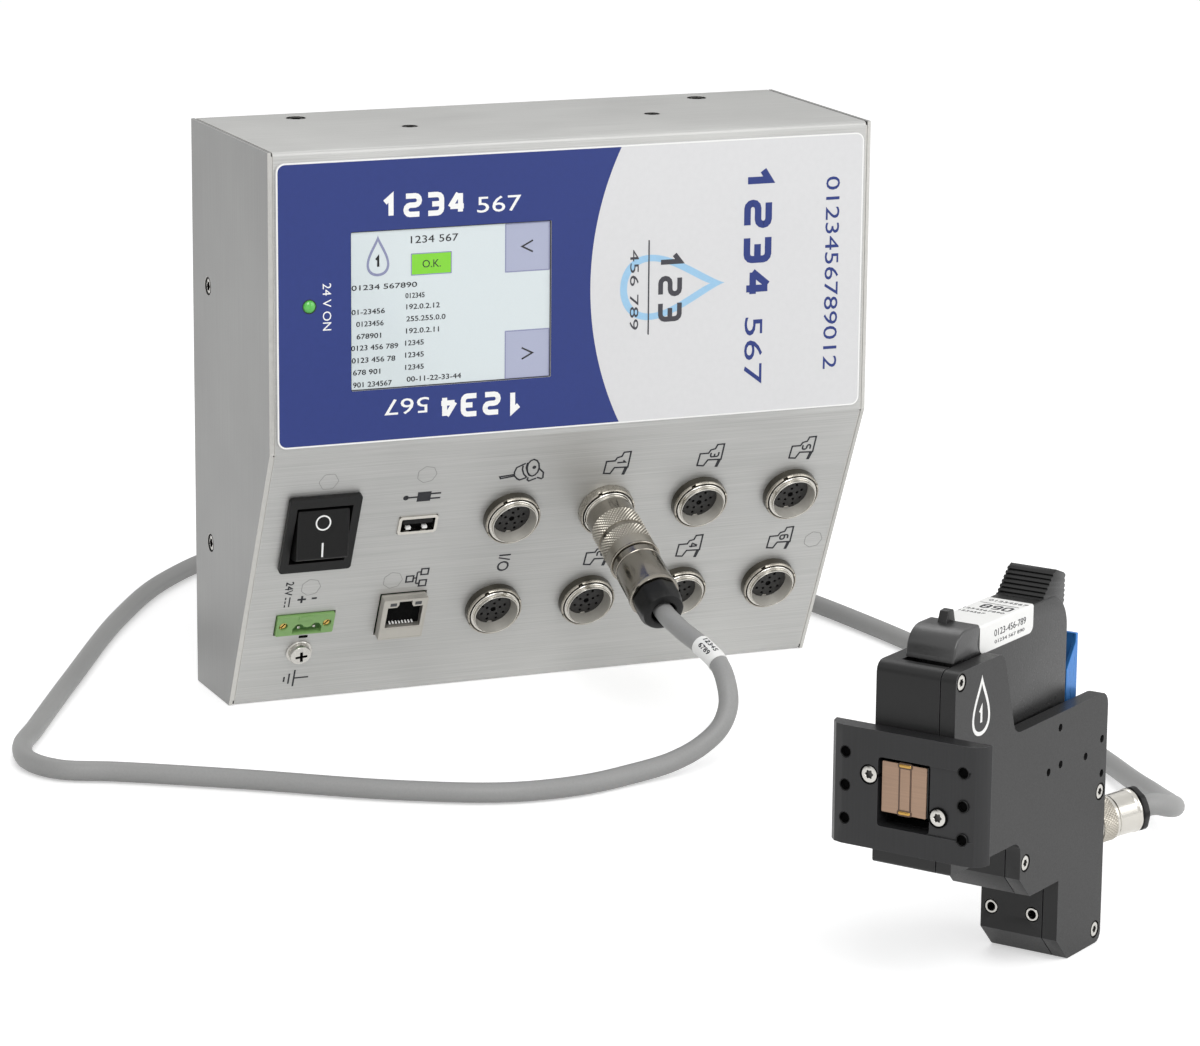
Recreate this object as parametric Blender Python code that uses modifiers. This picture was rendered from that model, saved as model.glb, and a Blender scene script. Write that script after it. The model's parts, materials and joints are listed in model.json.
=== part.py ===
"""Date code inkjet printer: a sheet metal controller, a print head on its foot and the cable between them.

The frame is metres, +Z up, with the origin at the middle of the controller's underside. The controller's
front faces -Y. The print head stands in front of it, turned so that its nozzles face away to the left.
"""

from collections import namedtuple
from math import atan2, ceil, cos, hypot, pi, radians, sin, sqrt, tan

import bmesh
import bpy
from mathutils import Euler, Matrix, Vector

MM = 0.001

# Clearances
GAP = 0.3 * MM
SEAM = 0.5 * MM
SLIDE = 0.3 * MM
PIVOT_PLAY = 0.15 * MM
SCREW_PLAY = 0.35 * MM

# Facets of round pieces
ROUND = 20
SCREW_ROUND = 12
FILLET_STEP = radians(30)

# Controller case
BOX_WIDTH = 214 * MM
BOX_HEIGHT = 195.3 * MM
BOX_DEPTH = 80.3 * MM
BEND_HEIGHT = 96.3 * MM
BASE_SETBACK = 45.9 * MM
SHEET = 1.2 * MM
SHARP_EDGE = radians(35)
BEND_RADIUS = 1.5 * MM
FLANGE_DEPTH = 18 * MM
FLANGE_END_MARGIN = 6 * MM

# Case screws
TOP_SCREW_INSET = 33.5 * MM
TOP_SCREW_DEPTH = 70 * MM
TOP_SCREW_HEAD = 3.3 * MM
BRACKET_SCREW_INSET = 63.2 * MM
BRACKET_SCREW_DEPTH = 40 * MM
BRACKET_SCREW_HEAD = 2.6 * MM
SIDE_SCREW_DEPTH = 64 * MM
SIDE_SCREW_HEIGHTS = (52.5 * MM, 141 * MM)
SIDE_SCREW_HEAD = 3.0 * MM
SCREW_SHANK = 1.45 * MM
SCREW_LENGTH = 7 * MM
RECESS_SHARE = 0.45

# Front label, display and power light
LABEL_SIDE_MARGIN = 2.5 * MM
LABEL_BOTTOM = 98 * MM
LABEL_TOP = 191.8 * MM
LABEL_CORNER = 3 * MM
LABEL_THICKNESS = 0.5 * MM
SCREEN_WIDTH = 70 * MM
SCREEN_HEIGHT = 52.4 * MM
SCREEN_X = 62.85 * MM
SCREEN_Z = 141.9 * MM
GLASS_MARGIN = 2.7 * MM
GLASS_THICKNESS = 1.8 * MM
MODULE_MARGIN_X = 3.5 * MM
MODULE_MARGIN_Z = 5.8 * MM
MODULE_THICKNESS = 9 * MM
BRACKET_LEG_FOOT = 8 * MM
BRACKET_DEPTH = 52 * MM
BRACKET_SIDE_MARGIN = 18 * MM
LED_RADIUS = 2.0 * MM
LED_X = 13.6 * MM
LED_Z = 144.6 * MM
LED_STAND = 0.6 * MM
LED_CROWN = 0.65
LED_LENGTH = 8 * MM
LED_FLANGE = 0.7 * MM

# Boards and chassis
BOARD = 1.6 * MM
CHASSIS_FRONT = 58 * MM
CHASSIS_TAB = 14 * MM
CHASSIS_BOTTOM = 14 * MM
CHASSIS_HEADROOM = 9.3 * MM
CHASSIS_TOP = BOX_HEIGHT - CHASSIS_HEADROOM
CONTROL_BOARD_LEFT = 25 * MM
CONTROL_BOARD_MARGIN = 24 * MM
CONTROL_BOARD_BOTTOM = 100 * MM
CONTROL_BOARD_HEADROOM = 6 * MM
CONTROL_BOARD_TOP = CHASSIS_TOP - CONTROL_BOARD_HEADROOM
STANDOFF_LENGTH = 8 * MM
STANDOFF_RADIUS = 2.5 * MM
STANDOFF_INSET = 6 * MM
PANEL_BOARD_DEPTH = 12 * MM
PANEL_BOARD_LEFT = 46 * MM
PANEL_BOARD_MARGIN = 3.5 * MM
PANEL_BOARD_TOP = 8 * MM
PANEL_BOARD_BOTTOM = 99 * MM
POWER_BOARD_LEFT = 6 * MM
POWER_BOARD_RIGHT = 43 * MM
POWER_BOARD_TOP = 52 * MM
STUD_RADIUS = 3.0 * MM

# Connector panel: places are (across from the case's left side, down the slope from the bend)
SOCKET_LEFT = 89.8 * MM
SOCKET_TOP = 34.0 * MM
SOCKET_MARGIN = 21 * MM
SOCKET_PITCH_S = 39.4 * MM
SOCKET_ROWS = (
    ("encoder_socket", "socket_1", "socket_3", "socket_5"),
    ("io_socket", "socket_2", "socket_4", "socket_6"),
)
PLUGGED_COLUMN = 1
PLUGGED_ROW = 0
STUD_PLACES = (
    (56.6 * MM, 13.3 * MM),
    (22.3 * MM, 57.6 * MM),
    (51.4 * MM, 57.8 * MM),
    (BOX_WIDTH - 6.9 * MM, 56.6 * MM),
)

# Round connectors: heights run out of the panel along the connector's axis
Connector = namedtuple(
    "Connector",
    "nut_radius nut_height shell_stand shell_depth face core_stand collar_radius knurl_radius body_radius"
    " rim_radius rim_length bore collar_start knurl_start knurl_end coupling_end shell_end gland_radius"
    " gland_length gland_chamfer gland_floor",
)
PANEL_CONNECTOR = Connector(
    nut_radius=9.7 * MM,
    nut_height=4.2 * MM,
    shell_stand=4.0 * MM,
    shell_depth=10 * MM,
    face=2.6 * MM,
    core_stand=3.2 * MM,
    collar_radius=8.3 * MM,
    knurl_radius=8.75 * MM,
    body_radius=8.15 * MM,
    rim_radius=8.6 * MM,
    rim_length=2.0 * MM,
    bore=6.6 * MM,
    collar_start=4.6 * MM,
    knurl_start=11.0 * MM,
    knurl_end=25.0 * MM,
    coupling_end=30.0 * MM,
    shell_end=48.5 * MM,
    gland_radius=7.9 * MM,
    gland_length=8.5 * MM,
    gland_chamfer=1.2 * MM,
    gland_floor=3.0 * MM,
)
HEAD_CONNECTOR = Connector(
    nut_radius=7.6 * MM,
    nut_height=3.2 * MM,
    shell_stand=3.0 * MM,
    shell_depth=8 * MM,
    face=2.0 * MM,
    core_stand=2.5 * MM,
    collar_radius=6.5 * MM,
    knurl_radius=6.85 * MM,
    body_radius=6.35 * MM,
    rim_radius=6.6 * MM,
    rim_length=1.2 * MM,
    bore=4.9 * MM,
    collar_start=3.6 * MM,
    knurl_start=4.8 * MM,
    knurl_end=9.6 * MM,
    coupling_end=10.5 * MM,
    shell_end=18.4 * MM,
    gland_radius=6.8 * MM,
    gland_length=2.9 * MM,
    gland_chamfer=0.8 * MM,
    gland_floor=1.0 * MM,
)
NUT_WALL = 1.1 * MM
NUT_CHAMFER = 0.5 * MM
SHELL_WALL = 0.4 * MM
SHELL_GROOVE_DEPTH = 3.0 * MM
CORE_WALL = 0.45 * MM
KEY_HOLE_RADIUS = 1.25 * MM
KEY_HOLE_DEPTH = 2 * MM
SPIGOT_WALL = 0.4 * MM
SPIGOT_REACH = 2.4 * MM
GLAND_SIDES = 8
GLAND_BORE = 4.4 * MM

# Rocker switch
SWITCH_X = 21.8 * MM
SWITCH_S = 33.7 * MM
BEZEL_WIDTH = 25.2 * MM
BEZEL_LENGTH = 31 * MM
BEZEL_HEIGHT = 2.0 * MM
BEZEL_CORNER = 1.2 * MM
SWITCH_BODY_WIDTH = 21.8 * MM
SWITCH_BODY_LENGTH = 28.2 * MM
SWITCH_BODY_DEPTH = 24 * MM
SWITCH_MOUTH_WIDTH = 19.4 * MM
SWITCH_MOUTH_LENGTH = 23.2 * MM
ROCKER_TILT = radians(17)
ROCKER_LENGTH = 17.2 * MM
ROCKER_RISE = 5.7 * MM
ROCKER_SINK = 3.0 * MM
ROCKER_PIVOT_DEPTH = 1.5 * MM
ROCKER_SIDE_PLAY = 0.6 * MM
ROCKER_PIN = 1.5 * MM
ROCKER_PIN_REACH = 1.3 * MM

# Network, USB and power sockets, earth screw
LAN_X = 56.25 * MM
LAN_S = 72.4 * MM
LAN_WIDTH = 15.9 * MM
LAN_LENGTH = 17.2 * MM
LAN_STAND = 3.4 * MM
LAN_MOUTH_WIDTH = 12.4 * MM
LAN_MOUTH_LENGTH = 8.6 * MM
LAN_MOUTH_SHIFT = 1.4 * MM
LAN_MOUTH_DEPTH = 11 * MM
LAN_KEY_WIDTH = 4.6 * MM
LAN_KEY_LENGTH = 2.6 * MM
USB_X = 56.5 * MM
USB_S = 34.2 * MM
USB_WIDTH = 13.1 * MM
USB_LENGTH = 6.6 * MM
USB_STAND = 0.4 * MM
USB_WALL = 0.5 * MM
USB_MOUTH_DEPTH = 9 * MM
USB_TONGUE_WIDTH = 10.4 * MM
USB_TONGUE = 1.8 * MM
TERMINAL_X = 22.25 * MM
TERMINAL_S = 73.1 * MM
TERMINAL_WIDTH = 20.32 * MM
TERMINAL_LENGTH = 8.2 * MM
TERMINAL_STAND = 1.0 * MM
TERMINAL_MOUTH_WIDTH = 11.0 * MM
TERMINAL_MOUTH_LENGTH = 5.6 * MM
TERMINAL_MOUTH_DEPTH = 8 * MM
TERMINAL_PIN = 1.0 * MM
TERMINAL_PITCH = 5.08 * MM
TERMINAL_SCREW = 1.3 * MM
TERMINAL_SCREW_SPREAD = 15.4 * MM
EARTH_X = 21.9 * MM
EARTH_S = 85.3 * MM
EARTH_HEAD = 3.75 * MM
EARTH_HEIGHT = 2.4 * MM
EARTH_WASHER = 4.6 * MM
EARTH_WASHER_THICKNESS = 0.8 * MM
EARTH_SHANK = 2.0 * MM
EARTH_LENGTH = 8 * MM

# Print head: u runs across it, v runs back from the nose, w runs up from the floor
HEAD_X = -31.74 * MM
HEAD_Y = -382.68 * MM
HEAD_TURN = radians(-56)
HEAD_WIDTH = 24.5 * MM
HEAD_WALL = 4.75 * MM
HEAD_REAR = 90 * MM
NOSE_TOP = 99.3 * MM
NOSE_LENGTH = 27 * MM
NOSE_RADIUS = 3 * MM
NOSE_EDGE = 1 * MM
HEAD_BEND = 4 * MM
NOSE_BOTTOM = 42.6 * MM
NOSE_WALL = 5 * MM
LEDGE_TOP = 74.5 * MM
LEDGE_START = 34.5 * MM
BLOCK_FRONT = 39.7 * MM
BLOCK_BOTTOM = 24.9 * MM
BLOCK_CHAMFER = 6.3 * MM
FOOT_FRONT = 63 * MM
FOOT_CHAMFER = 7 * MM
POCKET_FLOOR = 45.2 * MM
POCKET_REAR = 86 * MM
POCKET_REAR_TOP = 60 * MM
POCKET_SKIN = 3.6 * MM
BRACKET_HOLE_RADIUS = 1.2 * MM
BRACKET_HOLES = (
    (61.2 * MM, 70.2 * MM),
    (86.9 * MM, 60.9 * MM),
    (77.1 * MM, 58.0 * MM),
    (62.0 * MM, 59.3 * MM),
    (54.9 * MM, 58.7 * MM),
    (87.3 * MM, 50.6 * MM),
)
HEAD_SCREWS = ((3.1 * MM, 96.2 * MM), (86.8 * MM, 45.3 * MM), (42.8 * MM, 35.4 * MM), (86.4 * MM, 4.2 * MM))
HEAD_SCREW_HEAD = 2.25 * MM
HEAD_SCREW_RING = 0.4 * MM
HEAD_SCREW_SINK = 2.4 * MM
HEAD_SCREW_LENGTH = 9 * MM
HEAD_SCREW_SHANK = 1.2 * MM
REAR_PORT_W = 31 * MM
REAR_PORT_YAW = radians(28)
REAR_PORT_PITCH = radians(7)
REAR_PORT_REACH = 4.5 * MM
REAR_BOSS_RADIUS = 8.2 * MM
INSERT_SPREAD = 13.1 * MM
INSERT_W = 13.4 * MM
INSERT_RADIUS = 1.95 * MM
INSERT_BORE = 1.5 * MM
INSERT_DEPTH = 6 * MM

# Front plate of the print head
PLATE_HALF_WIDTH = 24.1 * MM
PLATE_THICKNESS = 5.3 * MM
PLATE_EDGE = 5.1 * MM
PLATE_BOTTOM = 48.2 * MM
PLATE_TOP = 81.6 * MM
WINDOW_HALF_WIDTH = 7.9 * MM
WINDOW_BOTTOM = 55 * MM
WINDOW_TOP = 74.4 * MM
WINDOW_CORNER = 1 * MM
WINDOW_RELIEF = 3.6 * MM
CHANNEL_DEPTH = 0.6 * MM
PLATE_HOLE_RADIUS = 1.85 * MM
PLATE_HOLE_U = 18.15 * MM
PLATE_HOLE_W = 64.75 * MM
PLATE_HOLE_PITCH = 9.35 * MM
PLATE_SCREW_PLACES = ((-10.7 * MM, 68.9 * MM), (10.7 * MM, 60.3 * MM))
PLATE_SCREW_HEAD = 2.5 * MM

# Ink cartridge
CARTRIDGE_WIDTH = 14.4 * MM
CARTRIDGE_TOP = 106.8 * MM
CARTRIDGE_BUMP = 107.8 * MM
CARTRIDGE_REAR = 73.2 * MM
CARTRIDGE_BOTTOM = 48.6 * MM
CARTRIDGE_OVERHANG = 7.2 * MM
CARTRIDGE_SETBACK = 12.6 * MM
CARTRIDGE_FRONT = 6.6 * MM
CARTRIDGE_TOE = 60 * MM
CARTRIDGE_EDGE = 1 * MM
CARTRIDGE_BEND = 3 * MM
CARTRIDGE_REAR_RADIUS = 9 * MM
BUMP_FRONT = 14 * MM
BUMP_REAR = 20 * MM
BUMP_END = 23 * MM
BROW_V = 8.4 * MM
BROW_W = 103.6 * MM
SNOUT_WIDTH = 14.0 * MM
SNOUT_BOTTOM = 59.0 * MM
SNOUT_TOP = 73.5 * MM
SNOUT_FRONT = 4.4 * MM
GRIP_WIDTH = 15.8 * MM
GRIP_RISE = 7.1 * MM
GRIP_START = 58 * MM
GRIP_LEAN = 7 * MM
GRIP_DEPTH = 6.5 * MM
GRIP_DROP = 2.5 * MM
GRIP_TAIL = 5 * MM
ROOT = 1 * MM
FIN_WIDTH = 1.6 * MM
FIN_RISE = 3.0 * MM
FIN_START = 19.5 * MM
FIN_LENGTH = 5 * MM
FIN_TAPER = 1.5 * MM
FIN_U = -1.2 * MM
NOZZLE_THICKNESS = 0.4 * MM
NOZZLE_MARGIN = 0.15 * MM

# Latch
LATCH_WIDTH = 13 * MM
LATCH_SHEET = 1.2 * MM
LATCH_FRONT = 74.9 * MM
LATCH_BACK = 81.2 * MM
LATCH_TOP = 92.5 * MM
LATCH_BOTTOM = 64 * MM
LATCH_SLOPE_TOP = 90 * MM
LATCH_SLOPE_BOTTOM = 83 * MM
LATCH_PIVOT_V = 77.2 * MM
LATCH_PIVOT_W = 69.5 * MM
LATCH_PIN = 1.3 * MM
LATCH_PIN_REACH = 2.2 * MM
SPRING_TURNS = 5
SPRING_WIRE = 0.3 * MM
SPRING_RADIUS = 2.1 * MM
SPRING_PITCH = 1.2 * MM

# Contact block inside the print head
CONTACT_START = 14 * MM
CONTACT_LENGTH = 22 * MM
CONTACT_HEIGHT = 2.2 * MM
CONTACT_WIDTH = 11 * MM

# Cable
CABLE_RADIUS = 3.25 * MM
CABLE_SAMPLES = 2

PARTS = "date_code_inkjet_printer"
CUTTERS = "cutters"

# The cable's way, in millimetres, between the two plugs
CABLE_WAY = (
    (17.5, -101.0, 40.7),
    (19.4, -110.5, 37.4),
    (21.6, -122.0, 34.6),
    (23.0, -131.8, 31.2),
    (22.8, -138.2, 26.6),
    (21.8, -142.4, 20.4),
    (18.0, -145.1, 14.2),
    (10.8, -146.2, 8.8),
    (0.2, -147.6, 5.0),
    (-16.0, -151.6, 3.6),
    (-36.0, -157.0, 3.5),
    (-60.0, -156.0, 3.5),
    (-91.0, -141.8, 3.5),
    (-134.3, -112.0, 3.5),
    (-168.0, -90.5, 3.5),
    (-184.3, -81.8, 3.5),
    (-190.8, -69.0, 3.5),
    (-188.6, -52.0, 3.5),
    (-178.5, -32.0, 3.5),
    (-150.0, 23.5, 3.5),
    (-111.0, 96.5, 3.5),
    (-80.0, 142.5, 3.5),
    (-45.0, 174.5, 3.5),
    (-5.0, 187.0, 3.5),
    (38.0, 180.0, 3.5),
    (78.0, 150.0, 3.5),
    (108.0, 101.0, 3.5),
    (127.0, 50.0, 3.5),
    (137.5, -11.0, 3.5),
    (141.8, -60.0, 3.5),
    (140.8, -104.1, 3.5),
    (137.1, -154.3, 3.5),
    (133.4, -191.7, 3.8),
    (126.4, -223.0, 6.4),
    (120.0, -245.0, 9.8),
    (112.3, -266.0, 14.0),
    (103.2, -286.0, 19.3),
    (94.4, -303.0, 24.2),
    (87.6, -316.3, 28.5),
    (80.5, -324.9, 31.8),
    (73.6, -328.6, 34.2),
)


def start_scene():
    """Clear the scene and make the two collections."""
    for thing in list(bpy.data.objects):
        bpy.data.objects.remove(thing, do_unlink=True)
    for name in (PARTS, CUTTERS):
        bpy.context.scene.collection.children.link(bpy.data.collections.new(name))


def finish(name, colour, roughness, metallic=0.0):
    """A plain Principled material."""
    material = bpy.data.materials.new(name)
    material.use_nodes = True
    shader = material.node_tree.nodes["Principled BSDF"]
    shader.inputs["Base Color"].default_value = (*colour, 1.0)
    shader.inputs["Roughness"].default_value = roughness
    shader.inputs["Metallic"].default_value = metallic
    return material


def steel():
    return finish("brushed_steel", (0.56, 0.55, 0.53), 0.38, 1.0)


def nickel():
    return finish("nickel", (0.68, 0.65, 0.58), 0.25, 1.0)


def zinc():
    return finish("zinc", (0.62, 0.62, 0.60), 0.32, 1.0)


def brass():
    return finish("brass", (0.80, 0.60, 0.28), 0.30, 1.0)


def black_plastic():
    return finish("black_plastic", (0.025, 0.025, 0.027), 0.45)


def black_anodised():
    return finish("black_anodised", (0.055, 0.055, 0.055), 0.42, 0.4)


def blue_anodised():
    return finish("blue_anodised", (0.06, 0.17, 0.50), 0.35, 0.6)


def green_plastic():
    return finish("green_plastic", (0.25, 0.50, 0.22), 0.45)


def board_green():
    return finish("board_green", (0.02, 0.16, 0.07), 0.5)


def place(thing, material, parent=None, at=(0, 0, 0), turn=(0, 0, 0), collection=PARTS):
    """Link a thing, give it its material and hang it on its parent."""
    if thing.name not in bpy.data.collections[collection].objects:
        bpy.data.collections[collection].objects.link(thing)
    if material is not None:
        thing.data.materials.clear()
        thing.data.materials.append(material)
    thing.parent = parent
    thing.location = at
    thing.rotation_euler = turn
    if collection == CUTTERS:
        thing.hide_render = True
        thing.display_type = "WIRE"
    return thing


def frame(name, parent=None, at=(0, 0, 0), turn=(0, 0, 0)):
    """An empty that carries pieces."""
    return place(bpy.data.objects.new(name, None), None, parent, at, turn)


def from_bmesh(name, work):
    mesh = bpy.data.meshes.new(name)
    bmesh.ops.recalc_face_normals(work, faces=work.faces)
    work.to_mesh(mesh)
    work.free()
    return bpy.data.objects.new(name, mesh)


def smoothed(mesh):
    """Round faces shaded smooth, with the edges between flat faces kept sharp."""
    mesh.shade_smooth()
    mesh.set_sharp_from_angle(angle=SHARP_EDGE)
    return mesh


def box(name, low, high):
    """A box between two corners."""
    work = bmesh.new()
    bmesh.ops.create_cube(work, size=1)
    size = [b - a for a, b in zip(low, high)]
    middle = [(a + b) / 2 for a, b in zip(low, high)]
    bmesh.ops.scale(work, vec=size, verts=work.verts)
    bmesh.ops.translate(work, vec=middle, verts=work.verts)
    return from_bmesh(name, work)


def rod(name, radius, low, high, segments=SCREW_ROUND, top_radius=None):
    """A cylinder or cone along Z from low to high."""
    work = bmesh.new()
    bmesh.ops.create_cone(
        work,
        cap_ends=True,
        segments=segments,
        radius1=radius,
        radius2=radius if top_radius is None else top_radius,
        depth=high - low,
    )
    bmesh.ops.translate(work, vec=(0, 0, (low + high) / 2), verts=work.verts)
    made = from_bmesh(name, work)
    smoothed(made.data)
    return made


def rounded(corners):
    """An outline from (a, b, radius) corners, with an arc at each corner that has a radius."""
    points = []
    count = len(corners)
    for i, (a, b, radius) in enumerate(corners):
        here = Vector((a, b))
        before = Vector(corners[i - 1][:2]) - here
        after = Vector(corners[(i + 1) % count][:2]) - here
        if radius <= 0:
            points.append((a, b))
            continue
        before.normalize()
        after.normalize()
        half = before.angle(after) / 2
        reach = radius / tan(half)
        centre = here + (before + after).normalized() * (radius / sin(half))
        first = here + before * reach - centre
        last = here + after * reach - centre
        sweep = first.angle_signed(last)
        steps = max(1, ceil(abs(sweep) / FILLET_STEP))
        start = atan2(first.y, first.x)
        for k in range(steps + 1):
            angle = start - sweep * k / steps
            points.append((centre.x + radius * cos(angle), centre.y + radius * sin(angle)))
    return points


def offset_path(points, distance):
    """An open path moved sideways, to the left of its direction, with mitred corners."""
    moved = []
    for i, here in enumerate(points):
        sides = []
        if i > 0:
            sides.append((Vector(here) - Vector(points[i - 1])).normalized())
        if i < len(points) - 1:
            sides.append((Vector(points[i + 1]) - Vector(here)).normalized())
        normals = [Vector((-side.y, side.x)) for side in sides]
        middle = sum(normals, Vector((0, 0))).normalized()
        moved.append(tuple(Vector(here) + middle * distance / middle.dot(normals[0])))
    return moved


def mesh_of(thing):
    """The evaluated mesh of a loose object, with its caps welded and its round faces smooth."""
    bpy.context.scene.collection.objects.link(thing)
    bpy.context.view_layer.update()
    seen = thing.evaluated_get(bpy.context.evaluated_depsgraph_get())
    mesh = bpy.data.meshes.new_from_object(seen)
    work = bmesh.new()
    work.from_mesh(mesh)
    bmesh.ops.remove_doubles(work, verts=work.verts, dist=0.001 * MM)
    bmesh.ops.recalc_face_normals(work, faces=work.faces)
    work.to_mesh(mesh)
    work.free()
    bpy.data.objects.remove(thing, do_unlink=True)
    return smoothed(mesh)


TURN_FOR_AXIS = {"X": (pi / 2, 0, pi / 2), "Y": (pi / 2, 0, 0), "Z": (0, 0, 0)}


def prism(name, outline, low, high, axis="Z"):
    """A flat outline as a filled 2D curve, thick from low to high along an axis.

    Along X the outline is in (y, z), along Z it is in (x, y), and along Y it is in (x, z).
    """
    curve = bpy.data.curves.new(name, "CURVE")
    curve.dimensions = "2D"
    curve.fill_mode = "BOTH"
    curve.extrude = (high - low) / 2
    spline = curve.splines.new("POLY")
    spline.points.add(len(outline) - 1)
    for point, (a, b) in zip(spline.points, outline):
        point.co = (a, b, 0, 1)
    spline.use_cyclic_u = True
    mesh = mesh_of(bpy.data.objects.new(name + "_outline", curve))
    bpy.data.curves.remove(curve)
    middle = (low + high) / 2
    along = -middle if axis == "Y" else middle
    turn = Euler(TURN_FOR_AXIS[axis]).to_matrix().to_4x4()
    mesh.transform(turn @ Matrix.Translation((0, 0, along)))
    mesh.name = name
    return bpy.data.objects.new(name, mesh)


def turned(name, profile, segments=ROUND, closed=False):
    """A profile of (radius, height) points, turned around Z by a Screw modifier.

    The profile runs down its outer side. A closed one comes back up its bore.
    """
    mesh = bpy.data.meshes.new(name)
    edges = [(i, i + 1) for i in range(len(profile) - 1)]
    if closed:
        edges.append((len(profile) - 1, 0))
    mesh.from_pydata([(radius, 0, height) for radius, height in profile], edges, [])
    thing = bpy.data.objects.new(name, mesh)
    screw = thing.modifiers.new("turn", "SCREW")
    screw.steps = segments
    screw.render_steps = segments
    screw.use_merge_vertices = True
    screw.merge_threshold = 0.01 * MM
    screw.use_smooth_shade = True
    return thing


def helix_wire(name, radius, wire, turns, pitch):
    """A round wire wound along Z around the axis."""
    curve = bpy.data.curves.new(name, "CURVE")
    curve.dimensions = "3D"
    curve.bevel_depth = wire
    curve.bevel_resolution = 1
    curve.use_fill_caps = True
    per_turn = 10
    count = turns * per_turn + 1
    spline = curve.splines.new("POLY")
    spline.points.add(count - 1)
    for i, point in enumerate(spline.points):
        angle = 2 * pi * i / per_turn
        height = pitch * (i / per_turn - turns / 2)
        point.co = (radius * cos(angle), radius * sin(angle), height, 1)
    mesh = mesh_of(bpy.data.objects.new(name + "_path", curve))
    bpy.data.curves.remove(curve)
    mesh.name = name
    return bpy.data.objects.new(name, mesh)


def cut(target, *cutters, operation="DIFFERENCE"):
    """Boolean modifiers on target, one for each cutter."""
    for cutter in cutters:
        modifier = target.modifiers.new(cutter.name, "BOOLEAN")
        modifier.operation = operation
        modifier.solver = "EXACT"
        modifier.object = cutter
    return target


def cutter(thing, parent, at=(0, 0, 0), turn=(0, 0, 0)):
    return place(thing, None, parent, at, turn, CUTTERS)


def copies(name, pattern, spots):
    """One object with a copy of pattern's mesh at each spot, as separate solids."""
    mesh = mesh_of(pattern)
    work = bmesh.new()
    for spot in spots:
        part = mesh.copy()
        part.transform(spot)
        work.from_mesh(part)
        bpy.data.meshes.remove(part)
    joined = bpy.data.meshes.new(name)
    work.to_mesh(joined)
    work.free()
    bpy.data.meshes.remove(mesh)
    return bpy.data.objects.new(name, joined)


def repeated(names, pattern, material, parent, places, turn=(0, 0, 0)):
    """An object for each name, all with pattern's mesh, each at its own place."""
    mesh = mesh_of(pattern)
    for name, at in zip(names, places):
        place(bpy.data.objects.new(name, mesh), material, parent, at, turn)


def spots(places, turn=(0, 0, 0)):
    """A matrix for each place, all with the same turn."""
    return [Matrix.Translation(at) @ Euler(turn).to_matrix().to_4x4() for at in places]


def cheese_screw(name, head, length):
    """A print head screw with its cheese head's top at z = 0 and a hexagon recess."""
    profile = [
        (0, 0),
        (head, 0),
        (head, -HEAD_SCREW_SINK),
        (HEAD_SCREW_SHANK, -HEAD_SCREW_SINK),
        (HEAD_SCREW_SHANK, -length),
        (0, -length),
    ]
    return with_recess(turned(name, profile, SCREW_ROUND), head * RECESS_SHARE, HEAD_SCREW_SINK / 2)


def case_outline():
    """The controller's side outline in (depth, height), from the top front, clockwise seen from +X."""
    return [
        (0, BOX_HEIGHT),
        (0, BEND_HEIGHT),
        (BASE_SETBACK, 0),
        (BOX_DEPTH, 0),
        (BOX_DEPTH, BOX_HEIGHT),
    ]


def slope_place(x, s, h=0.0):
    """A place on the connector panel in the slope frame: x across, s down the slope, h out of it."""
    return (x, -s, h)


def socket_place(row, column):
    pitch = (BOX_WIDTH - SOCKET_MARGIN - SOCKET_LEFT) / (len(SOCKET_ROWS[row]) - 1)
    return slope_place(SOCKET_LEFT + pitch * column, SOCKET_TOP + SOCKET_PITCH_S * row)


def shell_radius(size):
    """The outer radius of a socket's threaded shell, inside its ring nut."""
    return size.nut_radius - NUT_WALL - GAP


def groove_radius(size):
    """The outer radius of the groove that takes a plug's spigot."""
    return shell_radius(size) - SHELL_WALL


def groove_floor(size):
    return size.shell_stand - SHELL_GROOVE_DEPTH


def socket_holes():
    return [
        socket_place(row, column)
        for row, names in enumerate(SOCKET_ROWS)
        for column in range(len(names))
    ]


def screen_room(margin_x, margin_z):
    """The (x, z) corners of the screen with a margin all round."""
    half_width = SCREEN_WIDTH / 2 + margin_x
    half_height = SCREEN_HEIGHT / 2 + margin_z
    return (SCREEN_X - half_width, SCREEN_Z - half_height), (SCREEN_X + half_width, SCREEN_Z + half_height)


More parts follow.
